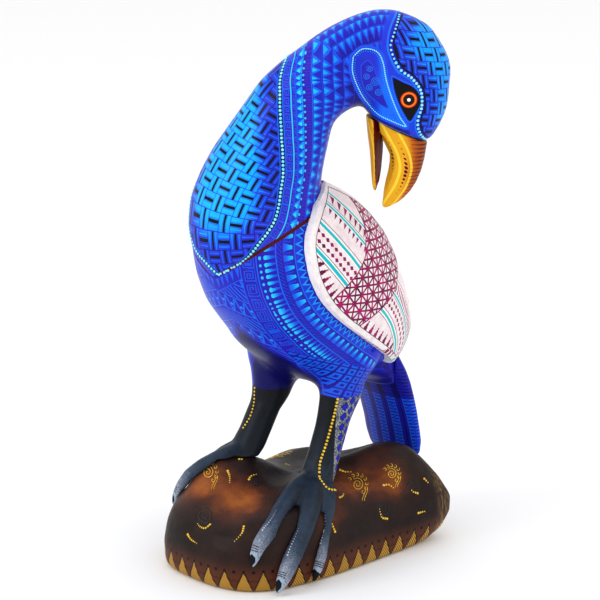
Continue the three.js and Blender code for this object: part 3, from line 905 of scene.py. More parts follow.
def head_tones(p, neck, face_x, broad, ground):
    """Cheek with its dots, eye patch, and the woven crown, laid over the neck's tones."""
    crown, cheek, cheek_run = p.field("crown"), p.field("cheek"), p.field("cheek_run")
    patch, lid = p.field("patch"), p.field("eye_patch")
    z = p.z
    side_y = (p.y - NECK_PLANE[1] - p.x + NECK_PLANE[0]) * HALF
    over_head = (z > BODY_ENDS["head_from"]) * (face_x > 20)
    t = Tones(p, p.blend(neck, ground + 0.5, (crown.ramp(10, 7)).most(lid.ramp(9, 6)) * over_head))
    t.lay(line(crown, 4.3, 0.6) * (z > 352), 0.66)
    t.lay(cheek.ramp(2.4, 1.2), ground + 0.56)
    t.lay(cheek < 0.4, ground + 0.42 + face_x.ramp(44, 52) * 0.2)
    t.lay(dots(cheek_run, cheek, 1.35, -0.6, 0.48), 0.98)
    t.lay(dots(cheek_run, cheek + 2.2, 1.9, 0.0, 0.34), 0.72)
    t.lay(patch < 0, ground + 0.36)
    t.lay(line(patch, -0.2, 0.5), 0.56)
    for u0, v0, size in WHORLS:
        a, b = face_x - u0, z - v0
        radius = (a * a + b * b).root()
        t.lay(((radius / 1.3 + b.turn(a)).frac() < 0.42) * (radius < size), 0.66)
    t.lay(line(past_cut(face_x, z, BEAK_CUT), 1.0, 1.2) * (face_x > 40) * (z > 295), 0.66)
    t.lay(line(lid, 0.9, 0.7), 0.64)
    bright = 0.5 + crown.ramp(-4, -17) * 0.24 + (broad - 0.5) * 0.12
    t.lay(band(crown, 0.4, 3.4), 0.36)
    t.lay(line(crown, 3.6, 0.7), 0.66)
    sideways = face_x - abs(side_y) * 0.9 + 100.0 + z * 0.12
    t.lay(crown < 0.4, woven(z + face_x * 0.18, sideways, bright, ground))
    t.lay(line(crown, -0.2, 1.3), 0.06)
    return t.value


def body_paint():
    """Blue paint: woven bib and crown, bands along their borders, rings round the wings, and the face."""
    p = Paint("blue_paint_fine")
    bib, lid = p.field("bib"), p.field("eye_patch")
    x, y, z = p.x, p.y, p.z
    face_x = (x - NECK_PLANE[0] + y - NECK_PLANE[1]) * HALF
    over_seam = z - SEAM["tip_z"] - abs(x) * SEAM["rise"] - (y - SEAM["tip_y"]) * SEAM["lean"]
    seam = over_seam / SEAM_SLOPE
    mottle, fine, broad = p.noise(9, 4) - 0.5, p.noise(1.1, 2) - 0.5, p.noise(45, 2)
    ground = mottle * 0.10 + fine * 0.05
    head = head_tones(p, neck_tones(p, bib, broad, ground), face_x, broad, ground)
    on_head = (past_cut(face_x, z, HEAD_CUT) > 0) * (z > BODY_ENDS["head_from"])
    tone = p.blend(torso_tones(p, seam, ground), head, seam > 0)
    colour = p.colours(tone, BLUES)
    violet = broad.ramp(0.42, 0.7) * tone.ramp(0.2, 0.36) * tone.ramp(0.74, 0.6)
    band_violet = (band(bib, 2.4, 10.6) + band(bib, 15.4, 21.6)) * (seam > 0) * tone.ramp(0.55, 0.45)
    colour = p.over(colour, (58, 30, 190), (violet * 0.3 + band_violet * 0.5).least(0.6))
    radius = ((face_x - EYE[0]) * (face_x - EYE[0]) + (z - EYE[1]) * (z - EYE[1])).root()
    for eye_colour, part in (((5, 5, 9), lid < 0), ((226, 62, 12), band(radius, 3.7, 5.5)),
                             ((250, 128, 30), band(radius, 4.1, 4.8)), ((30, 22, 18), line(radius, 2.7, 0.5)),
                             ((252, 252, 252), radius < 1.15)):
        colour = p.over(colour, eye_colour, part * on_head)
    groove = abs(x).ramp(0.8 * SEAM["end"], SEAM["end"], 1.0, 0.3) * abs(x).ramp(0, 16, 0.25, 1.0) * (y < 8)
    maroon = p.over(p.colours(fine + 0.5, [(0, (34, 6, 10)), (1, (104, 18, 26))]), (12, 8, 40),
                    abs(x).ramp(7, 1))
    colour = p.over(colour, maroon, abs(seam) < groove * 1.25)
    relief = tone * 0.8 + fine * 0.5 + mottle * 0.3
    return p.finish(colour, relief, 0.16, mottle * 0.12 + 0.36, coat=0.05)


def slate_paint():
    """Feet: blue-black, paler and speckled towards the toes, with black nails and bands."""
    p = Paint("slate_paint_fine")
    tip, side = p.field("tip"), p.field("side")
    x, y, z = p.x, p.y, p.z
    mottle, fine = p.noise(7, 4) - 0.5, p.noise(0.9, 2) - 0.5
    pale = tip.ramp(40, 12) + tip.ramp(75, 45) * 0.3
    tone = pale * 0.4 + mottle * 0.24 + fine * (pale * 0.6 + 0.12) + z.ramp(112, 62) * 0.2 + 0.06
    tone = tone * (1 - abs(side).ramp(3, 8) * 0.3)
    colour = p.colours(tone, [(0, (11, 12, 15)), (0.2, (25, 32, 41)), (0.42, (48, 62, 80)),
                              (0.62, (92, 102, 120)),
                              (0.82, (140, 148, 164)), (1, (190, 196, 208))])
    top = abs(side) < tip.ramp(0.5, 6, 0.2, 2.6)
    nail = top * band(tip, 1.2, 10.0 - abs(side) * 0.7)
    rings = line(tip, 12.2, 0.5) + line(tip, 13.6, 0.5) + line(tip, 15.0, 0.5)
    colour = p.layered(colour, ((150, 166, 190), (abs(side) < 3.4) * band(tip, 0.6, 10.9)),
                       ((9, 10, 14), nail), ((12, 14, 22), rings * (abs(side) < 3.6)))
    # A panel of blue diamonds up the outer back of the near leg.
    edge = z.ramp(56, 118, 1.6, 11.5, soft=False)
    panel = (y > edge - 1.0) * (z > 54) * (x > 20)
    glitter = p.colours(p.noise(0.7, 1), [(0.35, (34, 36, 44)), (0.5, (84, 88, 98)), (0.66, (176, 180, 188))])
    colour = p.over(colour, glitter, panel)
    for column, shift in ((3.6, 0.0), (8.6, 3.6), (13.6, 0.0)):
        gem = off(z + shift, 7.2) * 0.8 + abs(y - edge - column)
        colour = p.layered(colour, ((10, 10, 16), panel * (gem < 2.7)), ((24, 34, 178), panel * (gem < 2.2)))
    relief = fine * 0.6 + mottle
    return p.finish(colour, relief, 0.2, mottle * 0.2 + 0.44, coat=0.04)


def wing_paint():
    """Wing: a white rim, feathers drawn in turquoise and maroon, and a magenta star lattice across."""
    p = Paint("wing_paint_fine")
    rim, top, low = p.field("rim"), p.field("star_top"), p.field("star_low")
    rim_run = p.field("rim_run")
    y, z = p.y, p.z
    mottle, fine = p.noise(6, 3) - 0.5, p.noise(0.9, 2) - 0.5
    white = p.colours(mottle + fine * 0.6 + 0.5,
                      [(0.2, (214, 205, 206)), (0.5, (238, 230, 230)), (0.8, (248, 243, 242))])
    pink = p.colours(mottle + fine + 0.5,
                     [(0.2, (226, 205, 210)), (0.5, (240, 226, 229)), (0.8, (249, 240, 241))])
    maroon = p.colours(p.noise(5, 2), [(0.35, (92, 16, 60)), (0.6, (164, 20, 98))])
    dark, pale, turquoise = (58, 44, 48), (246, 242, 240), (8, 186, 196)
    across, along = y * 0.78 + z * 0.62, y * 0.62 - z * 0.78
    bent = across + (along + 110.0) * (along + 110.0) * 0.006
    upper, lower = top > 0, low < 0

    def bars(colour, v, places, margin, where):
        for at, width in places:
            colour = p.layered(colour, (pale, line(v, at, width + margin) * where),
                               (turquoise, line(v, at, width) * where))
        return colour

    # Upper feathers.
    marks = teeth(along, across, 5.2, 163.4, 157.0, 0.62) + teeth(along + 2, across, 4.6, 153.6, 148.4, 0.62)
    lozenge = (off(along, 4.6) * 0.8 + abs(off(across + 2.2, 5.2) - 2.6) < 1.6) * band(across, 125.5, 136.2)
    step = (rim - 4.1) < (off(rim_run, 6.6).ramp(0.0, 2.6, 9.0, -1.0, soft=False) / 2.2).floor() * 2.2
    marks = marks + lozenge + step * (across < 119.5) * (rim > 4.1)
    edges = line(across, 156.6, 0.45) + line(across, 141.4, 0.45) + line(across, 124.6, 0.45)
    edges = edges + line(across, 119.7, 0.4)
    colour = p.layered(pink, (maroon, (marks * upper).least(1.0)), (dark, (edges * upper).least(1.0)))
    colour = bars(colour, across, ((165.0, 1.5), (154.6, 1.7), (138.4, 2.1), (122.2, 2.3)), 1.6, upper)

    # Lower feathers.
    lozenge = (off(along, 4.4) * 0.8 + abs(off(bent + 1.0, 4.8) - 2.4) < 1.5) * band(bent, 140, 150.4)
    marks = lozenge + step * (bent < 133.6) * (rim > 4.1)
    marks = marks + (off(along, 3.4) < 0.7) * band(bent, 154.6, 162)
    edges = line(bent, 133.4, 0.4) + line(bent, 138.8, 0.45) + line(bent, 151, 0.4) + line(bent, 164, 0.4)
    colour = p.layered(colour, (maroon, (marks * lower).least(1.0)), (dark, (edges * lower).least(1.0)))
    colour = bars(colour, bent, ((136.0, 2.0), (152.8, 1.7)), 1.4, lower)

    # The star lattice between the feathers.
    size = 8.2
    cross = off(across + along + size / 2, size) * 0.7071
    other = off(across - along + size / 2, size) * 0.7071
    gap = off(across, size).least(off(along, size)).least(cross).least(other)
    petal = gap > 0.72 - (p.noise(3, 1) - 0.5) * 0.3
    borders = line(top, -0.3, 1.1) + line(low, 0.3, 1.1)
    wall = p.field("wall")
    scallop = (off(rim_run, 5.2) < wall.ramp(0, 6, 2.3, 0.0, soft=False)) * band(wall, 0.2, 6)
    colour = p.layered(colour, (p.over(maroon, white, petal), (top < 0) * (low > 0)),
                       (maroon, borders * (rim > 3.7)), (dark, line(rim, 3.9, 0.55)), (white, rim < 3.7),
                       (maroon, scallop), (turquoise, line(wall, 8.4, 1.6) * (wall > 0)),
                       (white, p.field("inside")))
    relief = (rim < 3.7) * 0.6 + fine * 0.3 + mottle * 0.3
    return p.finish(colour, relief, 0.25, mottle * 0.2 + 0.5, coat=0.03)


def beak_paint():
    """Beak: yellow to burnt orange at its outer edge, with strokes, pale bands, and rows of dark dots."""
    p = Paint("beak_paint_fine")
    share, down, mouth = p.field("share"), p.field("down"), p.field("mouth")
    mottle, fine = p.noise(6, 4) - 0.5, p.noise(0.8, 2) - 0.5
    outer = p.field("outer")
    tone = share.ramp(0.42, 0.8) * 0.8 * outer + mottle * 0.3 + fine * 0.14 + 0.1 + (1 - outer) * 0.12
    colour = p.colours(tone, [(0, (232, 172, 30)), (0.3, (222, 146, 26)), (0.6, (196, 100, 20)),
                              (1, (146, 62, 20))])
    bowed = share + (down - 27.0) * (down - 27.0) * 0.00036
    pale = line(bowed, 0.32, 0.08) + line(bowed, 0.64, 0.07)
    colour = p.over(colour, (250, 216, 60), pale.least(1.0) * 0.8)
    slant = down + share * 9.0
    stroke = (off(slant, 2.9) < share.ramp(0.6, 1.0, 0.12, 0.75)) * (share > 0.62)
    colour = p.over(colour, (72, 22, 12), stroke * outer * 0.9)
    large = spot(off(down, 3.0), (bowed - 0.49) * 22.0, abs(down - 25.0).ramp(0, 18, 1.2, 0.3))
    small = spot(off(down, 2.4), (share - 0.14) * 22.0, abs(down - 20.0).ramp(0, 12, 0.7, 0.2))
    colour = p.layered(colour, ((84, 16, 20), large * outer * band(down, 6, 46)),
                       ((84, 16, 20), small * outer * band(down, 10, 32)))
    colour = p.over(colour, p.colours(mottle + 0.5, [(0.2, (66, 4, 8)), (0.8, (112, 12, 14))]), mouth)
    relief = fine * 0.5 + mottle * 0.6 + pale * 0.4
    return p.finish(colour, relief, 0.16, mottle * 0.16 + 0.38, coat=0.02)


TRIANGLE = 13.6


def rock_paint():
    """Base: dark brown with a painted orange highlight on its lobes' tops, with a row of hatched gold
    triangles round its foot.
    """
    p = Paint("rock_paint_fine")
    rim_run, painted_highlight = p.field("rim_run"), p.field("painted_highlight")
    y, z = p.y, p.z
    broad, mottle, fine = p.noise(46, 4), p.noise(11, 5) - 0.5, p.noise(1.0, 3) - 0.5
    # The lobes' tops are lifted towards orange here, as a painted highlight.
    tone = painted_highlight * 0.58 + (broad - 0.5) * 0.75 + mottle * 0.34 + fine * 0.12 + 0.12
    colour = p.colours(tone, [(0, (22, 14, 12)), (0.25, (42, 26, 22)), (0.45, (74, 38, 24)),
                              (0.65, (128, 66, 30)),
                              (0.85, (172, 98, 36)), (1, (196, 124, 48))])
    low = z.ramp(24, 8)
    colour = p.over(colour, (104, 52, 28), low * 0.6)
    side = off(rim_run, TRIANGLE)
    reach = z.ramp(0.5, 14.5, 6.2, 0.0, soft=False)
    colour = p.over(colour, (14, 10, 9), (side < reach + 0.9) * (z < 16.4))
    hatch = off(rim_run * 0.9 + z * 0.75, 1.7) < 0.4
    gold = p.over((112, 70, 26), (206, 158, 58), hatch)
    colour = p.over(colour, gold, (side < reach) * (z < 14.5))
    between = off(rim_run + TRIANGLE / 2, TRIANGLE)
    colour = p.over(colour, (14, 10, 9), spot(between, z - 15.0, math.sqrt(1.5)))
    zig = abs(z - 8.0 - off(rim_run, 3.4) * 0.9) < 0.35
    colour = p.over(colour, (40, 22, 16), zig * (side > reach + 0.9) * band(z, 4, 13))
    end = y.ramp(78, 92) * z.ramp(4, 12)
    streak = p.noise(2.4, 4, stretch=(1, 1, 0.3))
    colour = p.over(colour, (156, 112, 44), end * streak.ramp(0.4, 0.72) * 0.7)
    relief = fine * 0.8 + mottle * 1.4
    return p.finish(colour, relief, 0.5, mottle * 0.2 + 0.46, coat=0.05)


def tail_paint():
    """Tail: navy feathers with a combed light stripe down each."""
    p = Paint("tail_paint_fine")
    z = p.z
    mottle, fine = p.noise(6, 4) - 0.5, p.noise(0.9, 2) - 0.5
    lane = (p.x / 13.0 + 40.5).frac() * 13.0
    t = Tones(p, mottle * 0.14 + fine * 0.08 + 0.3)
    t.lay(band(lane, 2.6, 8.6) * (off(z, 2.6) < 0.62), 0.6)
    t.lay(line(lane, 2.4, 0.6) + line(lane, 8.9, 0.6), 0.58)
    t.lay(band(lane, 4.6, 6.6) * (off(z, 9.2) < 2.9), 0.5)
    t.lay(line(lane, 12.6, 0.9), 0.1)
    t.lay(z > 96, t.value * 0.6)
    colour = p.colours(t.value, BLUES)
    return p.finish(colour, t.value + fine * 0.4, 0.2, mottle * 0.14 + 0.38, coat=0.04)


def bare_wood():
    """Pegs and dowels: plain turned wood with its grain along the length."""
    p = Paint("bare_wood_fine")
    grain = p.noise(1.4, 4, stretch=(0.2, 0.2, 1.0))
    wide = p.noise(6, 2, stretch=(0.3, 0.3, 1.0))
    colour = p.colours(grain * 0.6 + wide * 0.4,
                       [(0.3, (150, 104, 62)), (0.5, (196, 150, 98)), (0.7, (222, 184, 132))])
    return p.finish(colour, grain, 0.15, grain * 0.2 + 0.55)


def flat_paint(name, dark, light):
    """Thick dots and lines of one paint, a little uneven."""
    p = Paint(name)
    mottle = p.noise(2.2, 2)
    colour = p.colours(mottle, [(0.3, dark), (0.7, light)])
    return p.finish(colour, mottle, 0.08, mottle * 0.2 + 0.35, coat=0.3)


# ---- Pieces ----

def add(skin, name, material, body, nodes):
    """One visual piece: its body, the nodes it stands for, and its paint's slot."""
    mesh = skin.mesh(name)
    thing = placed(name, mesh)
    if skin.crisp:
        mesh.set_sharp_from_angle(angle=math.radians(38))
    if skin.shading is not None:
        mesh.normals_split_custom_set_from_vertices(skin.shading.tolist())
    mesh.materials.append(material)
    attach(thing, body)
    if nodes:
        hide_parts(*nodes)
    return thing


class Drops:
    """Raised drops and lines of paint on a skin, gathered into one mesh."""

    def __init__(self, tree):
        self.tree = tree
        self.points = []
        self.faces = []

    def drop(self, place, radius, sides=10):
        """A flat dome of paint at the place on the skin nearest to this point."""
        hit, normal = self.tree.find_nearest(Vector(place))[:2]
        a = normal.orthogonal().normalized()
        b = normal.cross(a)
        start = len(self.points)
        rings = ((-0.136, 1.0), (0.1904, 0.94), (0.4352, 0.66))
        for lift, share in rings:
            for turn in np.arange(sides) * 2 * math.pi / sides:
                out = a * math.cos(turn) + b * math.sin(turn)
                self.points.append(hit + (out * share + normal * lift) * radius)
        self.points.append(hit + normal * 0.595 * radius)
        top = start + len(rings) * sides
        for k in range(sides):
            n = (k + 1) % sides
            for base in (start, start + sides):
                self.faces.append((base + k, base + n, base + sides + n, base + sides + k))
            self.faces.append((top - sides + k, top - sides + n, top))

    def stroke(self, places, width, height=0.22):
        """A thin raised line of paint, laid on the skin."""
        if len(places) < 3:
            return
        hits = [self.tree.find_nearest(Vector(p))[:2] for p in places]
        start = len(self.points)
        count = len(hits)
        for i, (hit, normal) in enumerate(hits):
            ahead = hits[min(i + 1, count - 1)][0] - hits[max(i - 1, 0)][0]
            side = normal.cross(ahead)
            side = side.normalized() if side.length > 1e-9 else normal.orthogonal().normalized()
            taper = min(1.0, 0.35 + 6.0 * min(i, count - 1 - i) / count)
            for out, lift in ((-1, -0.3), (-0.55, 0.8), (0.55, 0.8), (1, -0.3)):
                self.points.append(hit + side * out * 0.5 * width * taper + normal * lift * height)
        for i in range(count - 1):
            for k in range(3):
                a = start + 4 * i + k
                self.faces.append((a, a + 1, a + 5, a + 4))

    def add(self, name, material, body, slot):
        skin = Skin(np.array([p[:] for p in self.points]), self.faces)
        return add(skin, name, material, body, [])


def make_bird():
    """The body's pieces. Returns its whole skin, the borders on it, and each piece's skin to lay drops on."""
    skin = bird_skin()
    lines = paint_fields(skin)
    pieces = divided(skin)
    blue, slate = body_paint(), slate_paint()
    trees = {name: part.tree() for name, part in pieces.items()}
    for name, part in pieces.items():
        if name.endswith("foot"):
            foot_fields(part, TOES[name.split("_")[0]])
            part.fields = {key: part.fields[key] for key in ("tip", "side")}
            add(part, name + "_surface", slate, "figure", [name])
        else:
            add(part, name + "_surface", blue, "figure", [name])
    return skin, lines, trees


def border_dots(skin, lines, trees):
    """Rows of raised light dots along the bib's and the crown's borders."""
    tree = skin.tree()
    material = flat_paint("dot_cyan", (70, 214, 246), (170, 248, 255))
    neck, head = Drops(trees["neck"]), Drops(trees["head"])
    for place in spread(lines["bib"], 2.6, 1.0):
        run = spine_fields(np.array([place]))[0][0]
        if run < BIB_DOTS_END:
            neck.drop(place, 1.02 if run < BIB_END else 0.6)
    neck.add("neck_dots", material, "figure", "blue_paint")
    for key in ("crown_left", "crown_right"):
        border = lines[key]
        sign = 1 if key == "crown_left" else -1
        for place in spread(border, 2.85, 0.8):
            normal = tree.find_nearest(Vector(place))[1]
            k = np.argmin(np.linalg.norm(border - place, axis=1))
            step = border[min(k + 2, len(border) - 1)] - border[max(k - 2, 0)]
            out = np.cross(step, np.array(normal)) * -sign
            out /= max(np.linalg.norm(out), 1e-6)
            head.drop(place + out * 1.9, 0.78 if place[2] > 362 else 1.05)
    head.add("head_dots", material, "figure", "blue_paint")


def rolled(values, reach):
    """A running mean that keeps its ends."""
    padded = np.pad(values, reach, mode="edge")
    return np.convolve(padded, np.ones(2 * reach + 1) / (2 * reach + 1), mode="valid")


def make_wing(side):
    """A wing with a raised rim. Its fields follow its outline and its star lattice's borders."""
    sign = 1 if side == "left" else -1
    name = side + "_wing"
    skin, sharp = refined(name, VOXEL["wing"])
    outline = bezier_outline(WING_START, WING_CURVES, 40)
    flat = skin.points[:, 1:]
    gap, place = near_line(flat, outline)
    skin.fields["rim"], skin.fields["rim_run"] = gap, place
    for key, corners in (("star_top", STAR_TOP), ("star_low", STAR_LOW)):
        curve = curve_through(corners, 200)
        gap, _ = near_line(flat, curve)
        level = np.interp(flat[:, 0], curve[:, 0], curve[:, 1])
        above = flat[:, 1] > level
        if key == "star_top":
            above |= flat[:, 0] < np.interp(flat[:, 1], curve[:, 1], curve[:, 0])
        skin.fields[key] = np.where(above, gap, -gap)
    normals = skin.normals()
    facing = np.clip(normals[:, 0] * sign, 0, 1)
    edge_x = [np.abs(skin.points[np.linalg.norm(flat - p, axis=1) < 3.0, 0]).max(initial=0) for p in outline]
    shares = np.linspace(0, 1, len(outline))
    nearest = np.clip(np.searchsorted(shares, place / place.max()), 0, len(outline) - 1)
    wall = rolled(np.array(edge_x), 4)[nearest] - np.abs(skin.points[:, 0]) - 5.0
    on_wall = (skin.fields["rim"] < 3.5) & (wall > 0)
    skin.fields["wall"] = np.where(on_wall, wall, -1.0)
    skin.fields["inside"] = smoothstep(0.1, 0.3, -normals[:, 0] * sign)
    eased(skin, sharp & on_wall, 60)
    smoothed(skin, 10, (on_wall & ~sharp).astype(float))
    normals = skin.normals()
    raised = 0.5 * smoothstep(5.0, 3.2, skin.fields["rim"]) * smoothstep(0.0, 2.4, skin.fields["rim"])
    skin.points += normals * (facing * raised)[:, None]
    add(skin, name + "_surface", PAINTS["wing"], name, [name])


BEAK_CREST = ([254, 262, 270, 285, 301], [67, 72, 76.3, 80.6, 82.3])


def make_beaks():
    """The two halves of the beak, with each place's share of the way across and its distance down."""
    for name in ("upper_beak", "lower_beak"):
        upper = name == "upper_beak"
        skin = smoothed(remeshed([name], VOXEL["beak"]), 5)
        flat = neck_frame(skin.points)
        levels = np.arange(flat[:, 2].min() - 1, flat[:, 2].max() + 2, 2.0)
        rows = [flat[np.abs(flat[:, 2] - level) < 2.0, 0] for level in levels]
        good = [k for k, row in enumerate(rows) if len(row)]
        lows, highs = (np.interp(flat[:, 2], levels[good], rolled(np.array([end(rows[k]) for k in good]), 5))
                       for end in (np.min, np.max))
        if upper:
            highs = np.maximum(np.interp(flat[:, 2], *BEAK_CREST), lows + 1)
        skin.fields["share"] = np.clip((flat[:, 0] - lows) / (highs - lows), 0, 1.2)
        skin.fields["down"] = BEAK_CUT[0][1] - flat[:, 2] - 0.446 * (flat[:, 0] - BEAK_CUT[0][0])
        normals = neck_frame(skin.normals() + np.array([*NECK_PLANE, 0]))
        if upper:
            mouth = smoothstep(0.8, 0.9, -normals[:, 0]) * smoothstep(286, 292, flat[:, 2])
        else:
            mouth = smoothstep(0.3, 0.42, normals[:, 0])
        skin.fields["mouth"] = mouth
        skin.fields["outer"] = far(len(skin.points), float(upper))
        add(skin, name + "_surface", PAINTS["beak"], "figure", [name])


# Lobes of the base that get a painted highlight: place and radius.
LUMPS = [((-30, -52, 52), 30), ((4, -52, 50), 34), ((36, 22, 48), 30), ((50, 52, 44), 28),
         ((44, -14, 34), 26)]


def make_rock():
    """The base, slightly wavy, with the length round its foot and how much painted highlight each place gets.
    """
    skin = smoothed(remeshed(["rock_base"], VOXEL["rock"]), 10)
    points = skin.points
    foot = points[(points[:, 2] < 4) & (points[:, 2] > 1)][:, :2]
    turn = np.arctan2(foot[:, 1], foot[:, 0])
    steps = np.linspace(-math.pi, math.pi, 181)
    reach = [np.linalg.norm(foot[np.abs((turn - t + math.pi) % (2 * math.pi) - math.pi) < 0.05], axis=1).max()
             for t in steps]
    ring = np.stack([np.cos(steps) * reach, np.sin(steps) * reach], 1)
    length = lengths(ring)[-1]
    _, place = near_line(points[:, :2], ring)
    skin.fields["rim_run"] = place * round(length / TRIANGLE) * TRIANGLE / length
    normals = skin.normals()
    # Painted highlight: orange on the lobes, only on faces turned upwards.
    painted_highlight = np.zeros(len(points))
    for centre, radius in LUMPS:
        painted_highlight += np.exp(-((points - centre) ** 2).sum(1) / (0.45 * radius ** 2))
    skin.fields["painted_highlight"] = np.clip(painted_highlight, 0, 1) * smoothstep(-0.1, 0.6, normals[:, 2])
    waves = sum(np.sin(points @ RANDOM.normal(0, 0.12, 3) + RANDOM.uniform(0, 6)) for _ in range(8)) / 8
    skin.points = points + normals * (0.9 * waves * smoothstep(2, 12, points[:, 2]))[:, None]
    add(skin, "rock_base_surface", PAINTS["rock"], "figure", ["rock_base"])
    return skin


# Directions towards the left front, and to the right as seen from there.
TOWARD = np.array([0.68, -0.68, 0.276])
RIGHTWARD = np.array([HALF, HALF, 0])
# Marks nearer the middle than this are not mirrored, as the two sides meet at the front.
FRONT_MARKS = 35.0
GOLD_CURLS = [((-31, -50, 62), 6.2), ((41, 26, 52), 6.0), ((50, 51, 56), 5.2)]
BLACK_CURLS = [((-6, -77, 43), 6.6), ((58, 34, 36), 5.6), ((60, 63, 46), 5.0), ((0, -33, 59), 4.6)]
COMMAS = [[(-19, -42, 64), (-15, -44, 61), (-11, -48, 58)], [(-4, -36, 60), (-6, -32, 61), (-4, -29, 62)],
          [(-21, -29, 69), (-18, -27, 69)], [(-19, 15, 55), (-12, 13, 56)],
          [(28, -72, 43), (31, -77, 40), (29, -82, 35)],
          [(3, -80, 40), (2, -84, 38), (-3, -84, 38), (-8, -82, 39)],
          [(-11, -88, 31), (-7, -89, 29), (0, -90, 28)],
          [(58, -14, 32), (57, -15, 36), (57, -17, 40)],
          [(60, 36, 29), (60, 31, 31), (59, 30, 35), (58, 30, 38)],
          [(23, 27, 58), (26, 29, 57), (30, 33, 57)], [(47, 2, 50), (46, 6, 50), (44, 9, 51)],
          [(51, 42, 50), (53, 45, 50), (56, 48, 47)], [(64, 64, 27), (65, 70, 27)],
          [(62, 65, 41), (61, 61, 43), (60, 60, 45)], [(60, 74, 49), (62, 76, 46)]]


def faced(tree, places, mirror):
    """Lays points on a skin as seen from the left front, or from the right front if mirrored."""
    toward = TOWARD * [mirror, 1, 1]
    return laid(tree, np.array(places) * [mirror, 1, 1] + toward * 90, -toward)


def curl(centre, size, turns, start):
    """Points of a flat spiral round a place, seen from the left front."""
    up = np.cross(TOWARD, RIGHTWARD)
    out = []
    for t in np.linspace(0.08, 1, int(30 * turns)):
        a = start + 2 * math.pi * turns * t
        out.append(np.array(centre) + size * t * (RIGHTWARD * math.cos(a) + up * math.sin(a)))
    return out


def rock_marks(skin):
    """Gold spirals with frilled edges, black spirals, and commas of shrinking dots, on both long sides."""
    tree = skin.tree()
    gold, black = Drops(tree), Drops(tree)
    for mirror in (1, -1):
        for centre, size in GOLD_CURLS:
            if mirror < 0 and centre[0] < FRONT_MARKS:
                continue
            gold.stroke(faced(tree, curl(centre, size * 0.7, 2.3, 0.4), mirror), 0.5)
            for k in range(8):
                place = curl(centre, size, 1, k * 0.5 - 0.9)[-1]
                gold.stroke(faced(tree, curl(place, 1.5, 0.9, k * 0.5), mirror), 0.4)
            for shift in (0.0, 1.5):
                fall = [np.array(centre) + RIGHTWARD * (size * 0.7 + shift + 1.2 * math.sin(5 * t))
                        - np.array([0, 0, size * 1.9 * t]) for t in np.linspace(0.1, 1, 18)]
                gold.stroke(faced(tree, fall, mirror), 0.4)
        for centre, size in BLACK_CURLS:
            if mirror > 0 or centre[0] > FRONT_MARKS:
                black.stroke(faced(tree, curl(centre, size, 2.4, 1.0), mirror), 1.25)
        for comma in COMMAS:
            if mirror < 0 and comma[0][0] < FRONT_MARKS:
                continue
            places = faced(tree, curve_through(comma, 24), mirror)
            along = spread(places, 1.9) if len(places) > 1 else []
            for k, place in enumerate(along):
                gold.drop(place, 0.8 * (1 - k / (len(along) + 1)) ** 0.8 + 0.15)
    material = flat_paint("gold_dots", (206, 150, 28), (250, 214, 70))
    gold.add("rock_gold_marks", material, "figure", "rock_paint")
    material = flat_paint("black_lines", (8, 6, 6), (26, 18, 16))
    black.add("rock_black_marks", material, "figure", "rock_paint")


def foot_marks(trees):
    """Yellow dots down the near leg and pale dots along the toes."""
    yellow, far_yellow = Drops(trees["left_foot"]), Drops(trees["right_foot"])
    for place in spread(curve_through(NEAR_LEG_LINE, 200), 2.5):
        yellow.drop(place, 0.95)
    for place in spread(curve_through(FAR_LEG_LINE, 100), 2.5):
        far_yellow.drop(place, 0.8)
    material = flat_paint("dot_yellow_far", (214, 166, 24), (252, 216, 60))
    far_yellow.add("right_foot_dots", material, "figure", "slate_paint")
    material = flat_paint("dot_yellow", (214, 166, 24), (252, 216, 60))
    yellow.add("left_foot_dots", material, "figure", "slate_paint")
    material = flat_paint("dot_silver", (150, 164, 186), (222, 230, 240))
    for side in ("left", "right"):
        marks = Drops(trees[side + "_foot"])
        for toe in TOES[side]:
            for k, place in enumerate(spread(curve_through(toe, 200)[::-1], 2.0, 20.0)[:11]):
                marks.drop(place + np.array([0, 0, 9.0]), 0.5 * (1 - k / 12) + 0.12)
        marks.add(side + "_foot_pale_dots", material, "figure", "slate_paint")


# ---- Camera, light and floor ----

CAMERA = {"azimuth": 45.0, "elevation": 16.0, "distance": 2.1, "target": (0.005, 0.005, 0.183), "lens": 182.6}


def aimed(name, data, place, back):
    """Places a camera or a light so that it looks against this direction."""
    thing = placed(name, data)
    thing.location = place
    thing.rotation_euler = back.to_track_quat("Z", "Y").to_euler()
    return thing


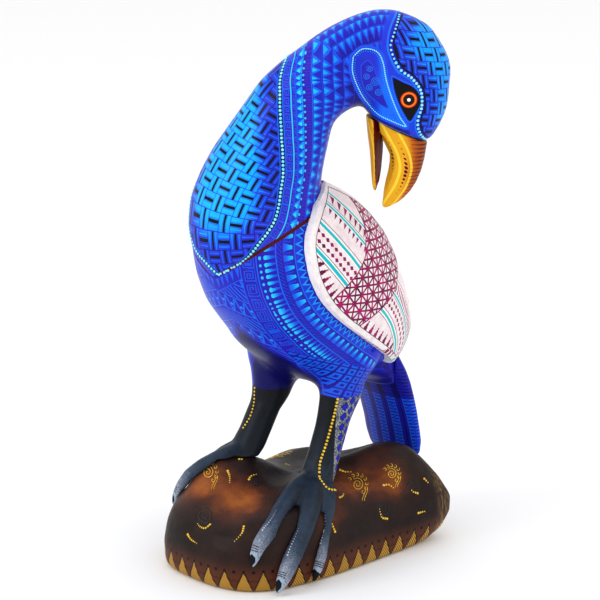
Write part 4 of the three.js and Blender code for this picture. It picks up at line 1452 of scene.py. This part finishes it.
def place_camera():
    a, e = math.radians(CAMERA["azimuth"]), math.radians(CAMERA["elevation"])
    back = Vector((math.sin(a) * math.cos(e), -math.cos(a) * math.cos(e), math.sin(e)))
    data = bpy.data.cameras.new("camera")
    data.lens = CAMERA["lens"]
    data.sensor_width = 36
    data.clip_end = 20
    place = Vector(CAMERA["target"]) + CAMERA["distance"] * back
    bpy.context.scene.camera = aimed("camera", data, place, back)


def area_light(name, place, size, power):
    data = bpy.data.lights.new(name, "AREA")
    data.size = size
    data.energy = power
    aimed(name, data, place, Vector(place) - Vector((0, 0, 0.2)))


def set_stage():
    world = bpy.data.worlds.new("studio")
    world.use_nodes = True
    light = world.node_tree.nodes["Background"].inputs
    light["Color"].default_value = (1, 1, 1, 1)
    light["Strength"].default_value = 1.0
    bpy.context.scene.world = world
    bpy.context.scene.view_settings.view_transform = "Standard"
    area_light("key", (-0.5, -1.5, 1.1), 0.9, 9)
    area_light("fill", (1.7, -0.4, 0.6), 1.3, 2)
    area_light("top", (0.2, 0.5, 1.8), 1.2, 4)
    mesh = bpy.data.meshes.new("floor")
    half = 4.0
    corners = [(-half, -half, 0), (half, -half, 0), (half, half, 0), (-half, half, 0)]
    mesh.from_pydata(corners, [], [(0, 1, 2, 3)])
    floor = placed("floor", mesh)
    floor.location.z = -0.0003
    material = bpy.data.materials.new("floor")
    material.use_nodes = True
    shader = material.node_tree.nodes["Principled BSDF"]
    shader.inputs["Base Color"].default_value = (0.93, 0.93, 0.93, 1)
    shader.inputs["Roughness"].default_value = 0.9
    mesh.materials.append(material)


PAINTS = {"wing": wing_paint(), "beak": beak_paint(), "rock": rock_paint(), "tail": tail_paint(),
          "wood": bare_wood()}
place_camera()
set_stage()
bird, border_lines, piece_trees = make_bird()
border_dots(bird, border_lines, piece_trees)
foot_marks(piece_trees)
for wing_side in ("left", "right"):
    make_wing(wing_side)
make_beaks()
rock_marks(make_rock())
tail_skin = smoothed(remeshed(["tail"], VOXEL["tail"]), 8)
add(tail_skin, "tail_surface", PAINTS["tail"], "figure", ["tail"])
for node_name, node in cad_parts.items():
    if node_name.endswith("dowel") or node_name.endswith("peg"):
        node.data.materials.clear()
        node.data.materials.append(PAINTS["wood"])
